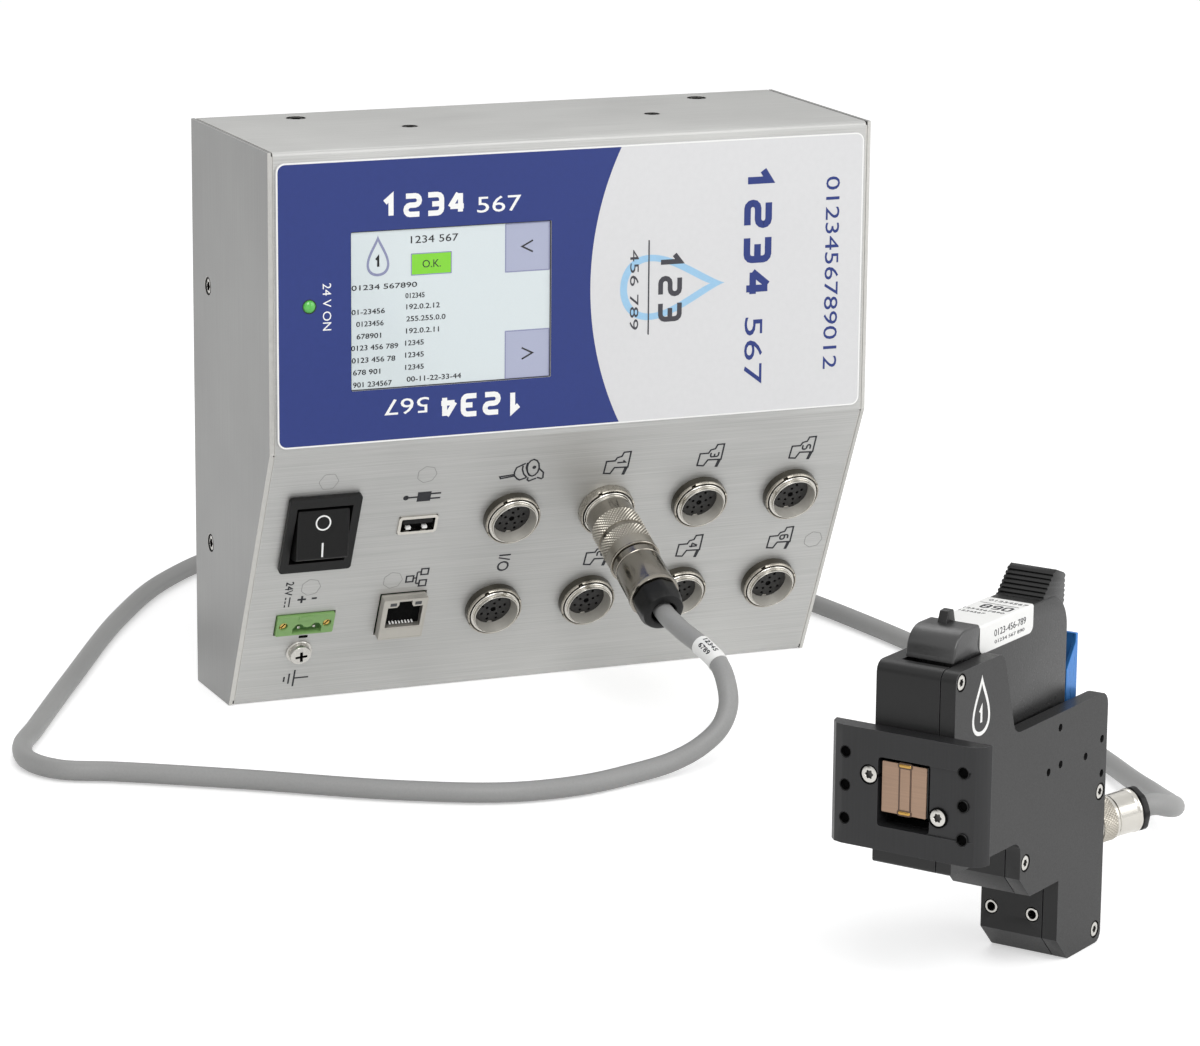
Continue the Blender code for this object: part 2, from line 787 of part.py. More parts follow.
def front_cover(case, slope):
    """Top, front, slope and bottom bent from one sheet, with its openings."""
    outer = [
        (BOX_DEPTH, BOX_HEIGHT),
        (0, BOX_HEIGHT),
        (0, BEND_HEIGHT),
        (BASE_SETBACK, 0),
        (BOX_DEPTH, 0),
    ]
    inner = offset_path(outer, SHEET)
    radii = [0, BEND_RADIUS, BEND_RADIUS, BEND_RADIUS, 0]
    corners = [(a, b, r) for (a, b), r in zip(outer, radii)]
    corners += [(a, b, 0) for a, b in reversed(inner)]
    side = SHEET + SEAM
    cover = prism("front_cover", rounded(corners), side, BOX_WIDTH - side, "X")
    place(cover, steel(), case)
    deep = 4 * SHEET
    low, high = screen_room(GLASS_MARGIN + GAP, GLASS_MARGIN + GAP)
    window = box("display_opening", (low[0], -deep, low[1]), (high[0], deep, high[1]))
    light = rod("light_opening", LED_RADIUS + GAP, -deep, deep)
    hole = rod("socket_hole", shell_radius(PANEL_CONNECTOR) + GAP, -deep, deep, ROUND)
    round_holes = copies("socket_openings", hole, spots(socket_holes()))
    square_holes = copies_of_boxes(
        "square_openings",
        (
            (SWITCH_X, SWITCH_S, SWITCH_BODY_WIDTH, SWITCH_BODY_LENGTH),
            (LAN_X, LAN_S, LAN_WIDTH, LAN_LENGTH),
            (USB_X, USB_S, USB_WIDTH, USB_LENGTH),
            (TERMINAL_X, TERMINAL_S, TERMINAL_WIDTH, TERMINAL_LENGTH),
        ),
        deep,
    )
    earth = rod("earth_opening", EARTH_SHANK + GAP, -deep, deep)
    cut(
        cover,
        cutter(window, case),
        cutter(light, case, (LED_X, 0, LED_Z), (pi / 2, 0, 0)),
        cutter(round_holes, slope),
        cutter(square_holes, slope),
        cutter(earth, slope, slope_place(EARTH_X, EARTH_S)),
        cutter(top_screw_room(), case),
        cutter(bracket_screw_room(), case),
    )
    pattern = rod("stud", STUD_RADIUS, -PANEL_BOARD_DEPTH + GAP, -SHEET / 2, 8)
    studs = copies("panel_studs", pattern, spots([slope_place(x, s) for x, s in STUD_PLACES]))
    cut(cover, cutter(studs, slope), operation="UNION")
    return cover


def copies_of_boxes(name, openings, deep):
    """One mesh of square openings in the slope, each a gap wider than what goes through."""
    work = bmesh.new()
    for x, s, width, length in openings:
        made = bmesh.ops.create_cube(work, size=1)["verts"]
        bmesh.ops.scale(work, vec=(width + 2 * GAP, length + 2 * GAP, 2 * deep), verts=made)
        bmesh.ops.translate(work, vec=slope_place(x, s), verts=made)
    return from_bmesh(name, work)


def top_screw_places():
    return [(x, TOP_SCREW_DEPTH, BOX_HEIGHT) for x in (TOP_SCREW_INSET, BOX_WIDTH - TOP_SCREW_INSET)]


def bracket_screw_places():
    across = (BRACKET_SCREW_INSET, BOX_WIDTH - BRACKET_SCREW_INSET)
    return [(x, BRACKET_SCREW_DEPTH, BOX_HEIGHT) for x in across]


def side_screw_places():
    """Places on the left and right sides, left ones first."""
    left = [(0, SIDE_SCREW_DEPTH, height) for height in SIDE_SCREW_HEIGHTS]
    right = [(BOX_WIDTH, SIDE_SCREW_DEPTH, height) for height in SIDE_SCREW_HEIGHTS]
    return left, right


def sunk_screw(name, head):
    """A case screw with its flat head at z = 0 and a hexagon recess."""
    profile = [
        (0, 0),
        (head, 0),
        (head - SHEET, -SHEET),
        (SCREW_SHANK, -SHEET),
        (SCREW_SHANK, -SCREW_LENGTH),
        (0, -SCREW_LENGTH),
    ]
    return with_recess(turned(name, profile, SCREW_ROUND), head * RECESS_SHARE, SHEET * 0.8)


def screw_room(name, head, places, turn=(0, 0, 0)):
    """The room that case screws need, with play all round."""
    wide = head + SCREW_PLAY
    shank = SCREW_SHANK + SCREW_PLAY
    end = -SCREW_LENGTH - SCREW_PLAY
    deep = SHEET + GAP / 2
    profile = [
        (0, SHEET),
        (wide, SHEET),
        (wide, 0),
        (wide - deep, -deep),
        (shank, -deep),
        (shank, end),
        (0, end),
    ]
    return copies(name, turned(name + "_one", profile, SCREW_ROUND), spots(places, turn))


def top_screw_room():
    return screw_room("top_screw_room", TOP_SCREW_HEAD, top_screw_places())


def bracket_screw_room():
    return screw_room("bracket_screw_room", BRACKET_SCREW_HEAD, bracket_screw_places())


def side_screw_rooms():
    left, right = side_screw_places()
    return (
        screw_room("left_screw_room", SIDE_SCREW_HEAD, left, (0, -pi / 2, 0)),
        screw_room("right_screw_room", SIDE_SCREW_HEAD, right, (0, pi / 2, 0)),
    )


def with_recess(screw, radius, depth):
    """A hexagon recess in the top of a screw whose head ends at z = 0."""
    return cut(screw, cutter(rod("hexagon_key", radius, -depth, depth, 6), None))


def back_pan(case):
    """Both sides and the back bent from one sheet, with flanges under the top and over the bottom."""
    pan = prism("back_pan", case_outline(), 0, BOX_WIDTH, "X")
    place(pan, steel(), case)
    far = BOX_HEIGHT
    rear = BOX_DEPTH - SHEET
    under_top = BOX_HEIGHT - SHEET - GAP
    over_bottom = SHEET + GAP
    room = box("pan_room", (SHEET, -far, -far), (BOX_WIDTH - SHEET, rear, 2 * far))
    above = box("pan_top_trim", (SHEET, rear - SHEET, under_top), (BOX_WIDTH - SHEET, 2 * far, 2 * far))
    below = box("pan_bottom_trim", (SHEET, rear - SHEET, -far), (BOX_WIDTH - SHEET, 2 * far, over_bottom))
    left = SHEET + FLANGE_END_MARGIN
    right = BOX_WIDTH - left
    lip = rear + SHEET / 2
    front = rear - FLANGE_DEPTH
    top_flange = box("pan_top_flange", (left, front, under_top - SHEET), (right, lip, under_top))
    low_flange = box("pan_low_flange", (left, front, over_bottom), (right, lip, over_bottom + SHEET))
    cut(pan, cutter(room, case), cutter(above, case), cutter(below, case))
    cut(pan, cutter(top_flange, case), cutter(low_flange, case), operation="UNION")
    cut(pan, cutter(top_screw_room(), case), *[cutter(room, case) for room in side_screw_rooms()])
    return pan


def case_screws(case):
    """The two large and two small screws in the top, and two in each side."""
    large = sunk_screw("top_screw", TOP_SCREW_HEAD)
    repeated(("top_screw_left", "top_screw_right"), large, zinc(), case, top_screw_places())
    small = sunk_screw("bracket_screw", BRACKET_SCREW_HEAD)
    repeated(("bracket_screw_left", "bracket_screw_right"), small, zinc(), case, bracket_screw_places())
    for side, places, lean in zip(("left", "right"), side_screw_places(), (-pi / 2, pi / 2)):
        names = ("side_screw_low_" + side, "side_screw_high_" + side)
        repeated(names, sunk_screw("side_screw", SIDE_SCREW_HEAD), zinc(), case, places, (0, lean, 0))


def chassis(case):
    """An upright plate across the case, with side tabs that the side screws hold."""
    left = SHEET + GAP
    right = BOX_WIDTH - left
    back = CHASSIS_FRONT + CHASSIS_TAB
    outline = [
        (left, CHASSIS_FRONT),
        (right, CHASSIS_FRONT),
        (right, back),
        (right - SHEET, back),
        (right - SHEET, CHASSIS_FRONT + SHEET),
        (left + SHEET, CHASSIS_FRONT + SHEET),
        (left + SHEET, back),
        (left, back),
    ]
    plate = prism("chassis", outline, CHASSIS_BOTTOM, CHASSIS_TOP)
    place(plate, zinc(), case)
    cut(plate, *[cutter(room, case) for room in side_screw_rooms()])
    foot = -CHASSIS_FRONT - SHEET / 2
    tip = -CHASSIS_FRONT + STANDOFF_LENGTH - GAP
    pattern = rod("standoff", STANDOFF_RADIUS, foot, tip, 6)
    standoffs = copies("standoffs", pattern, spots(standoff_places(), (pi / 2, 0, 0)))
    cut(plate, cutter(standoffs, case), operation="UNION")
    return plate


def standoff_places():
    """Behind the control board's corners."""
    return [
        (x, 0, z)
        for x in (CONTROL_BOARD_LEFT + STANDOFF_INSET, BOX_WIDTH - CONTROL_BOARD_MARGIN - STANDOFF_INSET)
        for z in (CONTROL_BOARD_BOTTOM + STANDOFF_INSET, CONTROL_BOARD_TOP - STANDOFF_INSET)
    ]


def control_board(case):
    """The main board in front of the chassis."""
    rear = CHASSIS_FRONT - STANDOFF_LENGTH
    board = box(
        "control_board",
        (CONTROL_BOARD_LEFT, rear - BOARD, CONTROL_BOARD_BOTTOM),
        (BOX_WIDTH - CONTROL_BOARD_MARGIN, rear, CONTROL_BOARD_TOP),
    )
    place(board, board_green(), case)

def panel_boards(slope):
    """The two boards behind the slope."""
    top = -PANEL_BOARD_DEPTH
    board = box(
        "connector_board",
        slope_place(PANEL_BOARD_LEFT, PANEL_BOARD_BOTTOM, top - BOARD),
        slope_place(BOX_WIDTH - PANEL_BOARD_MARGIN, PANEL_BOARD_TOP, top),
    )
    place(board, board_green(), slope)
    power = box(
        "power_board",
        slope_place(POWER_BOARD_LEFT, PANEL_BOARD_BOTTOM, top - BOARD),
        slope_place(POWER_BOARD_RIGHT, POWER_BOARD_TOP, top),
    )
    place(power, board_green(), slope)


def front_label(case):
    """The membrane over the front, with its screen window and the light's hole."""
    corners = [
        (LABEL_SIDE_MARGIN, LABEL_BOTTOM, LABEL_CORNER),
        (BOX_WIDTH - LABEL_SIDE_MARGIN, LABEL_BOTTOM, LABEL_CORNER),
        (BOX_WIDTH - LABEL_SIDE_MARGIN, LABEL_TOP, LABEL_CORNER),
        (LABEL_SIDE_MARGIN, LABEL_TOP, LABEL_CORNER),
    ]
    label = prism("front_label", rounded(corners), -GAP - LABEL_THICKNESS, -GAP, "Y")
    place(label, finish("label_blue", (0.055, 0.07, 0.24), 0.35), case)
    low, high = screen_room(0, 0)
    window = box("label_window", (low[0], -SCREEN_HEIGHT, low[1]), (high[0], SCREEN_HEIGHT, high[1]))
    hole = rod("label_light_hole", LED_RADIUS + GAP, -LED_LENGTH, LED_LENGTH)
    cut(label, cutter(window, case), cutter(hole, case, (LED_X, 0, LED_Z), (pi / 2, 0, 0)))
    return label


def display(case):
    """The screen's glass, its module, and the bracket that hangs it from the top."""
    low, high = screen_room(GLASS_MARGIN, GLASS_MARGIN)
    glass = box("display_glass", (low[0], 0, low[1]), (high[0], GLASS_THICKNESS, high[1]))
    place(glass, finish("screen", (0.03, 0.16, 0.17), 0.12), case)
    module_front = GLASS_THICKNESS + GAP
    module_back = module_front + MODULE_THICKNESS
    low, high = screen_room(MODULE_MARGIN_X, MODULE_MARGIN_Z)
    module = box("display_module", (low[0], module_front, low[1]), (high[0], module_back, high[1]))
    place(module, zinc(), case)
    front = module_back + GAP
    top = BOX_HEIGHT - SHEET - GAP
    foot = SCREEN_Z - SCREEN_HEIGHT / 2 - BRACKET_LEG_FOOT
    outline = [
        (front, foot),
        (front + SHEET, foot),
        (front + SHEET, top - SHEET),
        (BRACKET_DEPTH, top - SHEET),
        (BRACKET_DEPTH, top),
        (front, top),
    ]
    bracket = prism("display_bracket", outline, BRACKET_SIDE_MARGIN, BOX_WIDTH - BRACKET_SIDE_MARGIN, "X")
    place(bracket, zinc(), case)
    cut(bracket, cutter(bracket_screw_room(), case))


def status_led(case):
    """The power light's lens, with a flange behind the cover."""
    behind = -SHEET - GAP
    profile = [
        (0, GAP + LABEL_THICKNESS + LED_STAND),
        (LED_RADIUS * LED_CROWN, GAP + LABEL_THICKNESS + LED_STAND * LED_CROWN),
        (LED_RADIUS, GAP),
        (LED_RADIUS, behind),
        (LED_RADIUS + LED_FLANGE, behind),
        (LED_RADIUS + LED_FLANGE, behind - LED_FLANGE),
        (LED_RADIUS, behind - LED_FLANGE),
        (LED_RADIUS, -LED_LENGTH),
        (0, -LED_LENGTH),
    ]
    lens = turned("status_led", profile, SCREW_ROUND)
    place(lens, finish("lit_green", (0.25, 0.75, 0.10), 0.3), case, (LED_X, 0, LED_Z), (pi / 2, 0, 0))


def power_switch(slope):
    """The rocker switch: its bezel and housing, and the rocker on its two pins."""
    centre = slope_place(SWITCH_X, SWITCH_S)
    half_width = BEZEL_WIDTH / 2
    half_length = BEZEL_LENGTH / 2
    corners = [
        (-half_width, -half_length, BEZEL_CORNER),
        (half_width, -half_length, BEZEL_CORNER),
        (half_width, half_length, BEZEL_CORNER),
        (-half_width, half_length, BEZEL_CORNER),
    ]
    bezel = prism("switch_bezel", rounded(corners), GAP, BEZEL_HEIGHT)
    place(bezel, black_plastic(), slope, centre)
    body = box(
        "switch_body",
        (-SWITCH_BODY_WIDTH / 2, -SWITCH_BODY_LENGTH / 2, -SWITCH_BODY_DEPTH),
        (SWITCH_BODY_WIDTH / 2, SWITCH_BODY_LENGTH / 2, (GAP + BEZEL_HEIGHT) / 2),
    )
    swing = hypot(ROCKER_LENGTH / 2, ROCKER_RISE)
    floor = -ROCKER_PIVOT_DEPTH - swing - SLIDE
    mouth = box(
        "switch_mouth",
        (-SWITCH_MOUTH_WIDTH / 2, -SWITCH_MOUTH_LENGTH / 2, floor),
        (SWITCH_MOUTH_WIDTH / 2, SWITCH_MOUTH_LENGTH / 2, SWITCH_BODY_DEPTH),
    )
    pin_hole = rod("switch_pin_hole", ROCKER_PIN + PIVOT_PLAY, -BEZEL_WIDTH, BEZEL_WIDTH)
    pivot = (centre[0], centre[1], -ROCKER_PIVOT_DEPTH)
    cut(bezel, cutter(body, slope, centre), operation="UNION")
    cut(bezel, cutter(mouth, slope, centre), cutter(pin_hole, slope, pivot, (0, pi / 2, 0)))
    rocker_frame = frame("rocker_pivot", slope, pivot)
    half = ROCKER_LENGTH / 2
    flank_start = atan2(ROCKER_RISE, half)
    flank_end = -atan2(ROCKER_SINK, sqrt(swing**2 - ROCKER_SINK**2))
    steps = 4
    angles = [flank_start + (flank_end - flank_start) * k / steps for k in range(steps + 1)]
    right = [(swing * cos(a), swing * sin(a)) for a in angles]
    left = [(-a, b) for a, b in reversed(right)]
    width = SWITCH_MOUTH_WIDTH - 2 * ROCKER_SIDE_PLAY
    rocker = prism("rocker", right + left, -width / 2, width / 2, "X")
    place(rocker, black_plastic(), rocker_frame, (0, 0, 0), (-ROCKER_TILT, 0, 0))
    reach = SWITCH_MOUTH_WIDTH / 2 + ROCKER_PIN_REACH - GAP
    pins = rod("rocker_pins", ROCKER_PIN, -reach, reach)
    cut(rocker, cutter(pins, rocker_frame, (0, 0, 0), (0, pi / 2, 0)), operation="UNION")


def lan_socket(slope):
    """The shielded network socket, standing out of the slope."""
    low = -PANEL_BOARD_DEPTH + GAP
    body = box(
        "lan_socket",
        (-LAN_WIDTH / 2, -LAN_LENGTH / 2, low),
        (LAN_WIDTH / 2, LAN_LENGTH / 2, LAN_STAND),
    )
    centre = slope_place(LAN_X, LAN_S)
    place(body, nickel(), slope, centre)
    top = LAN_MOUTH_SHIFT + LAN_MOUTH_LENGTH / 2
    mouth = box(
        "lan_mouth",
        (-LAN_MOUTH_WIDTH / 2, LAN_MOUTH_SHIFT - LAN_MOUTH_LENGTH / 2, LAN_STAND - LAN_MOUTH_DEPTH),
        (LAN_MOUTH_WIDTH / 2, top, LAN_LENGTH),
    )
    key = box(
        "lan_key",
        (-LAN_KEY_WIDTH / 2, 0, LAN_STAND - LAN_MOUTH_DEPTH),
        (LAN_KEY_WIDTH / 2, top + LAN_KEY_LENGTH, LAN_LENGTH),
    )
    cut(body, cutter(mouth, slope, centre), cutter(key, slope, centre))


def usb_socket(slope):
    """The USB socket's shell, with its tongue on the floor of the mouth."""
    low = -PANEL_BOARD_DEPTH + GAP
    body = box(
        "usb_socket",
        (-USB_WIDTH / 2, -USB_LENGTH / 2, low),
        (USB_WIDTH / 2, USB_LENGTH / 2, USB_STAND),
    )
    centre = slope_place(USB_X, USB_S)
    place(body, nickel(), slope, centre)
    inner_x = USB_WIDTH / 2 - USB_WALL
    inner_y = USB_LENGTH / 2 - USB_WALL
    floor = USB_STAND - USB_MOUTH_DEPTH
    mouth = box("usb_mouth", (-inner_x, -inner_y, floor), (inner_x, inner_y, USB_WIDTH))
    tongue_top = inner_y - USB_TONGUE / 2
    tongue = box(
        "usb_tongue",
        (-USB_TONGUE_WIDTH / 2, tongue_top - USB_TONGUE, floor - USB_WALL),
        (USB_TONGUE_WIDTH / 2, tongue_top, USB_STAND - USB_TONGUE),
    )
    cut(body, cutter(mouth, slope, centre))
    cut(body, cutter(tongue, slope, centre), operation="UNION")


def power_terminal(slope):
    """The green two-way header with its pins, and the brass screws of its flanges."""
    low = -PANEL_BOARD_DEPTH + GAP
    centre = slope_place(TERMINAL_X, TERMINAL_S)
    body = box(
        "power_terminal",
        (-TERMINAL_WIDTH / 2, -TERMINAL_LENGTH / 2, low),
        (TERMINAL_WIDTH / 2, TERMINAL_LENGTH / 2, TERMINAL_STAND),
    )
    place(body, green_plastic(), slope, centre)
    floor = TERMINAL_STAND - TERMINAL_MOUTH_DEPTH
    mouth = box(
        "terminal_mouth",
        (-TERMINAL_MOUTH_WIDTH / 2, -TERMINAL_MOUTH_LENGTH / 2, floor),
        (TERMINAL_MOUTH_WIDTH / 2, TERMINAL_MOUTH_LENGTH / 2, TERMINAL_WIDTH),
    )
    pin = box(
        "terminal_pin",
        (-TERMINAL_PIN / 2, -TERMINAL_PIN / 2, floor - TERMINAL_PIN),
        (TERMINAL_PIN / 2, TERMINAL_PIN / 2, TERMINAL_STAND - TERMINAL_PIN),
    )
    pin_places = [(side * TERMINAL_PITCH / 2, 0, 0) for side in (-1, 1)]
    pins = copies("terminal_pins", pin, spots(pin_places))
    screw_places = [(side * TERMINAL_SCREW_SPREAD / 2, 0, TERMINAL_STAND) for side in (-1, 1)]
    bore = rod("terminal_screw_bore", TERMINAL_SCREW + GAP, -TERMINAL_MOUTH_DEPTH, TERMINAL_SCREW)
    bores = copies("terminal_screw_bores", bore, spots(screw_places))
    cut(body, cutter(mouth, slope, centre), cutter(bores, slope, centre))
    cut(body, cutter(pins, slope, centre), operation="UNION")
    sunk = 0.5 * MM
    screw = rod("terminal_screw", TERMINAL_SCREW, -TERMINAL_MOUTH_DEPTH + GAP, -sunk, 8)
    places = [(centre[0] + x, centre[1], z) for x, _, z in screw_places]
    repeated(("terminal_screw_left", "terminal_screw_right"), screw, brass(), slope, places)


def earth_screw(slope):
    """The pan head earth screw on its washer."""
    seat = GAP + EARTH_WASHER_THICKNESS
    top = seat + EARTH_HEIGHT
    profile = [
        (0, top),
        (EARTH_HEAD * 0.6, top),
        (EARTH_HEAD, top - EARTH_HEIGHT * 0.5),
        (EARTH_HEAD, seat),
        (EARTH_WASHER, seat),
        (EARTH_WASHER, GAP),
        (EARTH_SHANK, GAP),
        (EARTH_SHANK, -EARTH_LENGTH),
        (0, -EARTH_LENGTH),
    ]
    place(turned("earth_screw", profile, ROUND), zinc(), slope, slope_place(EARTH_X, EARTH_S))


def panel_socket(name, size, parent, at=(0, 0, 0)):
    """A round socket: contact insert and core tube, a groove, the threaded shell and the ring nut."""
    core = groove_radius(size) - 2 * GAP - SPIGOT_WALL
    shell = shell_radius(size)
    nut = size.nut_radius
    profile = [
        (0, size.face - KEY_HOLE_DEPTH),
        (KEY_HOLE_RADIUS, size.face - KEY_HOLE_DEPTH),
        (KEY_HOLE_RADIUS, size.face),
        (core - CORE_WALL, size.face),
        (core - CORE_WALL, size.core_stand),
        (core, size.core_stand),
        (core, groove_floor(size)),
        (groove_radius(size), groove_floor(size)),
        (groove_radius(size), size.shell_stand),
        (shell + GAP, size.shell_stand),
        (shell + GAP, size.nut_height),
        (nut - NUT_CHAMFER, size.nut_height),
        (nut, size.nut_height - NUT_CHAMFER),
        (nut, GAP),
        (shell, GAP),
        (shell, -size.shell_depth),
        (0, -size.shell_depth),
    ]
    place(turned(name, profile), nickel(), parent, at)


def connector_panel(slope):
    """The eight round sockets on the slope."""
    for row, names in enumerate(SOCKET_ROWS):
        for column, name in enumerate(names):
            panel_socket(name, PANEL_CONNECTOR, slope, socket_place(row, column))


def plug(name, size, base):
    """A cable plug along base's Z: the free coupling ring, the shell through it and the gland nut."""
    spigot = groove_radius(size) - GAP
    nose = size.collar_start - SPIGOT_REACH * size.nut_height / PANEL_CONNECTOR.nut_height
    ring = [
        (size.knurl_radius, size.coupling_end),
        (size.knurl_radius, size.knurl_start),
        (size.collar_radius, size.knurl_start),
        (size.collar_radius, size.collar_start),
        (spigot, size.collar_start),
        (spigot, nose),
        (spigot - SPIGOT_WALL, nose),
        (spigot - SPIGOT_WALL, size.collar_start),
        (size.bore, size.collar_start),
        (size.bore, size.coupling_end),
    ]
    place(turned(name + "_coupling_ring", ring, closed=True), nickel(), base)
    rim = size.shell_end - size.rim_length
    foot = size.coupling_end + GAP
    core = size.bore - GAP
    shell = [
        (0, size.shell_end),
        (size.rim_radius, size.shell_end),
        (size.rim_radius, rim),
        (size.body_radius, rim),
        (size.body_radius, foot),
        (core, foot),
        (core, size.core_stand + GAP),
        (0, size.core_stand + GAP),
    ]
    place(turned(name + "_shell", shell), nickel(), base)
    start = size.shell_end + GAP
    end = start + size.gland_length
    clear = end + size.gland_length
    edge = size.gland_radius - size.gland_chamfer
    nut = rod(name + "_gland_nut", size.gland_radius, start, end, GLAND_SIDES)
    place(nut, black_plastic(), base)
    trim = turned(
        name + "_gland_trim",
        [
            (2 * size.gland_radius, clear),
            (2 * size.gland_radius, end - size.gland_chamfer),
            (size.gland_radius, end - size.gland_chamfer),
            (edge, end),
            (edge, clear),
        ],
        closed=True,
    )
    bore = rod(name + "_gland_bore", GLAND_BORE, start + size.gland_floor, clear, ROUND)
    cut(nut, cutter(trim, base), cutter(bore, base))


def cable_end(size, base):
    """Where the cable leaves the floor of a plug's gland bore."""
    return base.matrix_world @ Vector((0, 0, size.shell_end + GAP + size.gland_floor + GAP))


def smooth_way(points, samples):
    """Points on the centripetal Catmull-Rom curve through the given points."""
    first = points[0] * 2 - points[1]
    last = points[-1] * 2 - points[-2]
    knots = [first, *points, last]
    way = []
    for i in range(1, len(knots) - 2):
        near = knots[i - 1 : i + 3]
        t = [0.0]
        for a, b in zip(near, near[1:]):
            t.append(t[-1] + sqrt((b - a).length))
        for k in range(samples):
            x = t[1] + (t[2] - t[1]) * k / samples
            row = near
            for level in (1, 2, 3):
                row = [
                    row[j].lerp(row[j + 1], (x - t[j + lift]) / (t[j + lift + span] - t[j + lift]))
                    for j, lift, span in blends(level)
                ]
            way.append(row[0])
    way.append(points[-1])
    return way


def blends(level):
    """The index, first knot and knot span of each blend at a level of the Catmull-Rom pyramid."""
    if level == 1:
        return ((0, 0, 1), (1, 0, 1), (2, 0, 1))
    if level == 2:
        return ((0, 0, 2), (1, 0, 2))
    return ((0, 1, 1),)


def cable(front, rear):
    """The cable from the plug on port 1, round the case, to the plug on the print head."""
    points = [Vector(point) * MM for point in CABLE_WAY]
    points.insert(0, cable_end(PANEL_CONNECTOR, front))
    points.append(cable_end(HEAD_CONNECTOR, rear))
    way = smooth_way(points, CABLE_SAMPLES)
    curve = bpy.data.curves.new("cable", "CURVE")
    curve.dimensions = "3D"
    curve.bevel_depth = CABLE_RADIUS
    curve.bevel_resolution = 2
    curve.use_fill_caps = True
    spline = curve.splines.new("POLY")
    spline.points.add(len(way) - 1)
    for point, here in zip(spline.points, way):
        point.co = (*here, 1)
    mesh = mesh_of(bpy.data.objects.new("cable_path", curve))
    bpy.data.curves.remove(curve)
    mesh.name = "cable"
    place(bpy.data.objects.new("cable", mesh), finish("cable_grey", (0.42, 0.42, 0.40), 0.5))


def head_outline():
    """The print head's side outline in (v, w), going round from the nose's top front."""
    chamfered = BLOCK_FRONT + BLOCK_CHAMFER
    return rounded(
        [
            (0, NOSE_TOP, NOSE_RADIUS),
            (0, NOSE_BOTTOM, NOSE_EDGE),
            (BLOCK_FRONT, NOSE_BOTTOM, HEAD_BEND),
            (BLOCK_FRONT, BLOCK_BOTTOM + BLOCK_CHAMFER, 0),
            (chamfered, BLOCK_BOTTOM, 0),
            (FOOT_FRONT, BLOCK_BOTTOM, 0),
            (FOOT_FRONT, FOOT_CHAMFER, 0),
            (FOOT_FRONT + FOOT_CHAMFER, 0, 0),
            (HEAD_REAR, 0, NOSE_RADIUS),
            (HEAD_REAR, LEDGE_TOP, HEAD_BEND),
            (LEDGE_START, LEDGE_TOP, HEAD_BEND),
            (NOSE_LENGTH, NOSE_TOP, HEAD_BEND),
        ]
    )


def pocket_outline():
    """The hollow between the side walls, in (v, w), open upwards and to the rear above the rear wall."""
    above = 2 * NOSE_TOP
    skin = POCKET_SKIN
    front = BLOCK_FRONT + skin
    bottom = BLOCK_BOTTOM + skin
    return [
        (NOSE_WALL, above),
        (NOSE_WALL, POCKET_FLOOR),
        (front, POCKET_FLOOR),
        (front, bottom + BLOCK_CHAMFER / 2),
        (front + BLOCK_CHAMFER / 2, bottom),
        (FOOT_FRONT + skin + INSERT_DEPTH, bottom),
        (FOOT_FRONT + skin + INSERT_DEPTH, FOOT_CHAMFER),
        (POCKET_REAR, FOOT_CHAMFER),
        (POCKET_REAR, POCKET_REAR_TOP),
        (2 * HEAD_REAR, POCKET_REAR_TOP),
        (2 * HEAD_REAR, above),
    ]


def head_split():
    """The face between the body and the side plate, as a place along u."""
    return HEAD_WIDTH / 2 - HEAD_WALL


def rear_port(head):
    """The frame of the rear socket, on a round boss that leans right and up out of the rear wall."""
    turn = Euler((REAR_PORT_PITCH - pi / 2, 0, -REAR_PORT_YAW))
    out = turn.to_matrix() @ Vector((0, 0, REAR_PORT_REACH))
    at = Vector((0, HEAD_REAR, REAR_PORT_W)) + out
    return frame("rear_port_frame", head, at, turn)


def port_boss(port, radius):
    """The boss, or the wider room for it, from inside the rear wall to the socket's seat."""
    deep = HEAD_CONNECTOR.shell_depth + GAP
    return cutter(rod("rear_boss", radius, -deep, 0, ROUND), port)


def port_hole(port):
    """The rear socket's hole, deep enough for its shell."""
    deep = HEAD_CONNECTOR.shell_depth + 2 * GAP
    return cutter(rod("rear_port_hole", shell_radius(HEAD_CONNECTOR) + GAP, -deep, deep, ROUND), port)


def head_screw_cutter(head):
    """Sunk seats and holes for the side screws, cut from the right."""
    play = HEAD_SCREW_RING
    head_radius = HEAD_SCREW_HEAD + play
    hole = turned(
        "head_screw_hole",
        [
            (0, HEAD_SCREW_SINK),
            (head_radius, HEAD_SCREW_SINK),
            (head_radius, -HEAD_SCREW_SINK - GAP),
            (HEAD_SCREW_SHANK + GAP, -HEAD_SCREW_SINK - GAP),
            (HEAD_SCREW_SHANK + GAP, -HEAD_SCREW_LENGTH - GAP),
            (0, -HEAD_SCREW_LENGTH - GAP),
        ],
        SCREW_ROUND,
    )
    return cutter(copies("head_screw_holes", hole, spots(head_screw_places(), (0, pi / 2, 0))), head)


def head_screw_places():
    return [(HEAD_WIDTH / 2, v, w) for v, w in HEAD_SCREWS]


def latch_pin_cutter(head):
    """Blind holes for the latch's pin in both side walls."""
    reach = head_split() + LATCH_PIN_REACH + GAP
    hole = rod("latch_pin_holes", LATCH_PIN + PIVOT_PLAY, -reach, reach)
    return cutter(hole, head, (0, LATCH_PIVOT_V, LATCH_PIVOT_W), (0, pi / 2, 0))


def plate_screw_places():
    front = -PLATE_THICKNESS - GAP
    return [(u, front, w) for u, w in PLATE_SCREW_PLACES]


